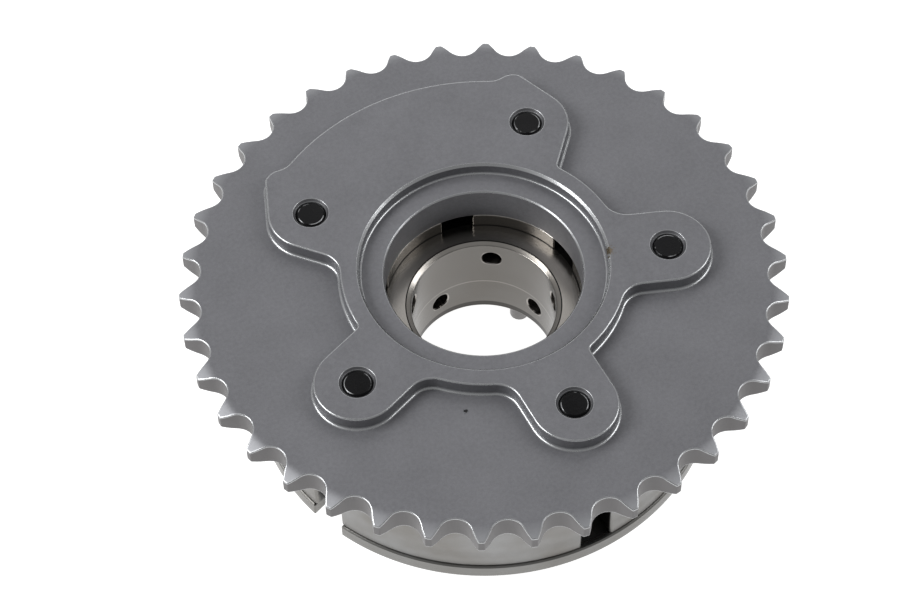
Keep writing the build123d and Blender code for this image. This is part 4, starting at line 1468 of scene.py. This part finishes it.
def finish(name):
    """A finish by name. The first call makes them all."""
    if "metal_grain" not in bpy.data.node_groups:
        make_finishes(bpy.context.scene.cam_phaser)
    return bpy.data.materials[name]


# Operators


class BuildSprocket(bpy.types.Operator):
    """Build the sprocket with its teeth, plateau and bores."""

    bl_idname = "phaser.build_sprocket"
    bl_label = "Sprocket"

    def execute(self, context):
        mesh = sprocket_mesh(context.scene.cam_phaser)
        place_piece("sprocket_shell", mesh, finish("sprocket_steel"), "housing", "sprocket")
        return {"FINISHED"}


class BuildStator(bpy.types.Operator):
    """Build the stator with its webs and pockets."""

    bl_idname = "phaser.build_stator"
    bl_label = "Stator"

    def execute(self, context):
        mesh = stator_mesh(context.scene.cam_phaser)
        place_piece("stator_ring", mesh, finish("stator_aluminium"), "housing", "stator")
        return {"FINISHED"}


class BuildCover(bpy.types.Operator):
    """Build the front cover."""

    bl_idname = "phaser.build_cover"
    bl_label = "Front cover"

    def execute(self, context):
        mesh = cover_mesh(context.scene.cam_phaser)
        place_piece("front_cover_plate", mesh, finish("cover_steel"), "housing", "front_cover")
        return {"FINISHED"}


class BuildRotor(bpy.types.Operator):
    """Build the rotor with its vanes, recess, bore and oil holes."""

    bl_idname = "phaser.build_rotor"
    bl_label = "Rotor"

    def execute(self, context):
        mesh = rotor_mesh(context.scene.cam_phaser)
        place_piece("rotor_hub", mesh, finish("rotor_steel"), "rotor", "rotor")
        return {"FINISHED"}


class BuildDowel(bpy.types.Operator):
    """Build the dowel in the rotor's front face."""

    bl_idname = "phaser.build_dowel"
    bl_label = "Dowel"

    def execute(self, context):
        mesh = dowel_mesh(context.scene.cam_phaser)
        place_piece("rotor_dowel_pin", mesh, finish("pin_steel"), "rotor", "rotor_dowel")
        return {"FINISHED"}


class BuildSpring(bpy.types.Operator):
    """Build the lock pin's spring, at the length of the imported one."""

    bl_idname = "phaser.build_spring"
    bl_label = "Lock pin spring"

    def execute(self, context):
        settings = context.scene.cam_phaser
        mesh = spring_mesh(settings)
        spring = place_piece("lock_pin_coil", mesh, finish("spring_steel"), "rotor",
                             "lock_pin_spring")
        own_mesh(spring)
        return {"FINISHED"}


class BuildScrews(bpy.types.Operator):
    """Build the five cover screws."""

    bl_idname = "phaser.build_screws"
    bl_label = "Cover screws"

    def execute(self, context):
        for number, node in enumerate(SCREWS):
            mesh = screw_mesh(context.scene.cam_phaser, number)
            place_piece(f"{node}_body", mesh, finish("screw_black"), "housing", node)
        return {"FINISHED"}


class FinishInside(bpy.types.Operator):
    """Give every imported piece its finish."""

    bl_idname = "phaser.finish_inside"
    bl_label = "Pieces inside"

    def execute(self, context):
        for part in frame["record"]["subparts"]:
            mesh = frame["nodes"][part["node"]].data
            mesh.materials.clear()
            mesh.materials.append(finish(part["material_slot"]))
        return {"FINISHED"}


def add_floor(scene, colours, glow):
    """Pale matt floor a hair under the object, lit from below and clear when seen from there."""
    tree, shader = new_material("studio_floor")
    feed(tree, shader, {"Base Color": opaque(colours.floor), "Roughness": 0.9,
                        "Emission Color": (1, 1, 1, 1), "Emission Strength": glow})
    lit = tree.nodes["Principled BSDF"].outputs[0]
    clear = add_node(tree, "BsdfTransparent").outputs[0]
    underside = add_node(tree, "NewGeometry").outputs["Backfacing"]
    seen = add_node(tree, "MixShader", {0: underside, 1: lit, 2: clear}).outputs[0]
    tree.links.new(seen, tree.nodes["Material Output"].inputs["Surface"])
    reach, height = 3.0, -0.02 * MM
    corners = [(x * reach, y * reach, height) for x, y in ((-1, -1), (1, -1), (1, 1), (-1, 1))]
    mesh = bpy.data.meshes.new("floor")
    mesh.from_pydata(corners, [], [(0, 1, 2, 3)])
    mesh.materials.append(bpy.data.materials["studio_floor"])
    floor = bpy.data.objects.new("floor", mesh)
    scene.collection.objects.link(floor)


def add_lamp(scene, name, place, size, power):
    """Square area lamp at a place, aimed at the object."""
    data = bpy.data.lights.new(name, "AREA")
    data.size = size
    data.energy = power
    lamp = bpy.data.objects.new(name, data)
    lamp.location = place
    lamp.rotation_euler = (-Vector(place)).to_track_quat("-Z", "Y").to_euler()
    scene.collection.objects.link(lamp)


def add_camera(scene, stage):
    """Camera that sees the object as the photo does."""
    data = bpy.data.cameras.new("camera")
    data.sensor_width = 36
    data.lens = stage.lens
    data.clip_start = 0.01
    camera = bpy.data.objects.new("camera", data)
    scene.collection.objects.link(camera)
    rotation = (Matrix.Rotation(stage.azimuth, 3, "Z")
                @ Matrix.Rotation(np.pi / 2 - stage.elevation, 3, "X")
                @ Matrix.Rotation(stage.roll, 3, "Z"))
    aim = Vector((0, 0, stage.aim_height))
    place = aim - rotation @ Vector((stage.aside, stage.above, -stage.distance))
    camera.matrix_world = Matrix.Translation(place) @ rotation.to_4x4()
    scene.camera = camera


class BuildStage(bpy.types.Operator):
    """Build the floor, the soft lights and the camera."""

    bl_idname = "phaser.build_stage"
    bl_label = "Stage"

    def execute(self, context):
        scene, settings = context.scene, context.scene.cam_phaser
        stage = settings.stage
        world = bpy.data.worlds.new("studio")
        world.use_nodes = True
        feed(world.node_tree, world.node_tree.nodes["Background"].inputs,
             {"Color": (1, 1, 1, 1), "Strength": stage.world})
        scene.world = world
        scene.view_settings.view_transform = "Standard"
        add_floor(scene, settings.colours, stage.floor_glow)
        add_lamp(scene, "left", place=(-0.8, 0.3, 0.8), size=0.6, power=stage.left)
        add_lamp(scene, "right", place=(0.85, -0.3, 0.75), size=0.6, power=stage.right)
        add_lamp(scene, "back", place=(0.45, 0.9, 0.9), size=0.8, power=stage.back)
        add_camera(scene, stage)
        return {"FINISHED"}


STEPS = (FinishInside, BuildSprocket, BuildStator, BuildCover, BuildRotor, BuildDowel,
         BuildSpring, BuildScrews, BuildStage)


class PhaserPanel(bpy.types.Panel):
    """Lists the steps that build the cam phaser."""

    bl_idname = "VIEW3D_PT_cam_phaser"
    bl_label = "Cam Phaser"
    bl_space_type = "VIEW_3D"
    bl_region_type = "UI"
    bl_category = "Cam Phaser"

    def draw(self, context):
        for step in STEPS:
            self.layout.operator(step.bl_idname)


CLASSES = (ToothSizes, PlateauSizes, HousingSizes, RotorSizes, ScrewSizes, FinishColours,
           MarkPlaces, StageSettings, PhaserSettings, *STEPS, PhaserPanel)


def register():
    """Registers the classes and the settings."""
    for cls in CLASSES:
        bpy.utils.register_class(cls)
    bpy.types.Scene.cam_phaser = bpy.props.PointerProperty(type=PhaserSettings)


def unregister():
    """Removes the settings and the classes."""
    del bpy.types.Scene.cam_phaser
    for cls in reversed(CLASSES):
        bpy.utils.unregister_class(cls)


def main():
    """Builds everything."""
    register()
    bpy.ops.phaser.finish_inside()
    bpy.ops.phaser.build_sprocket()
    bpy.ops.phaser.build_stator()
    bpy.ops.phaser.build_cover()
    bpy.ops.phaser.build_rotor()
    bpy.ops.phaser.build_dowel()
    bpy.ops.phaser.build_spring()
    bpy.ops.phaser.build_screws()
    bpy.ops.phaser.build_stage()


if __name__ == "__main__":
    main()
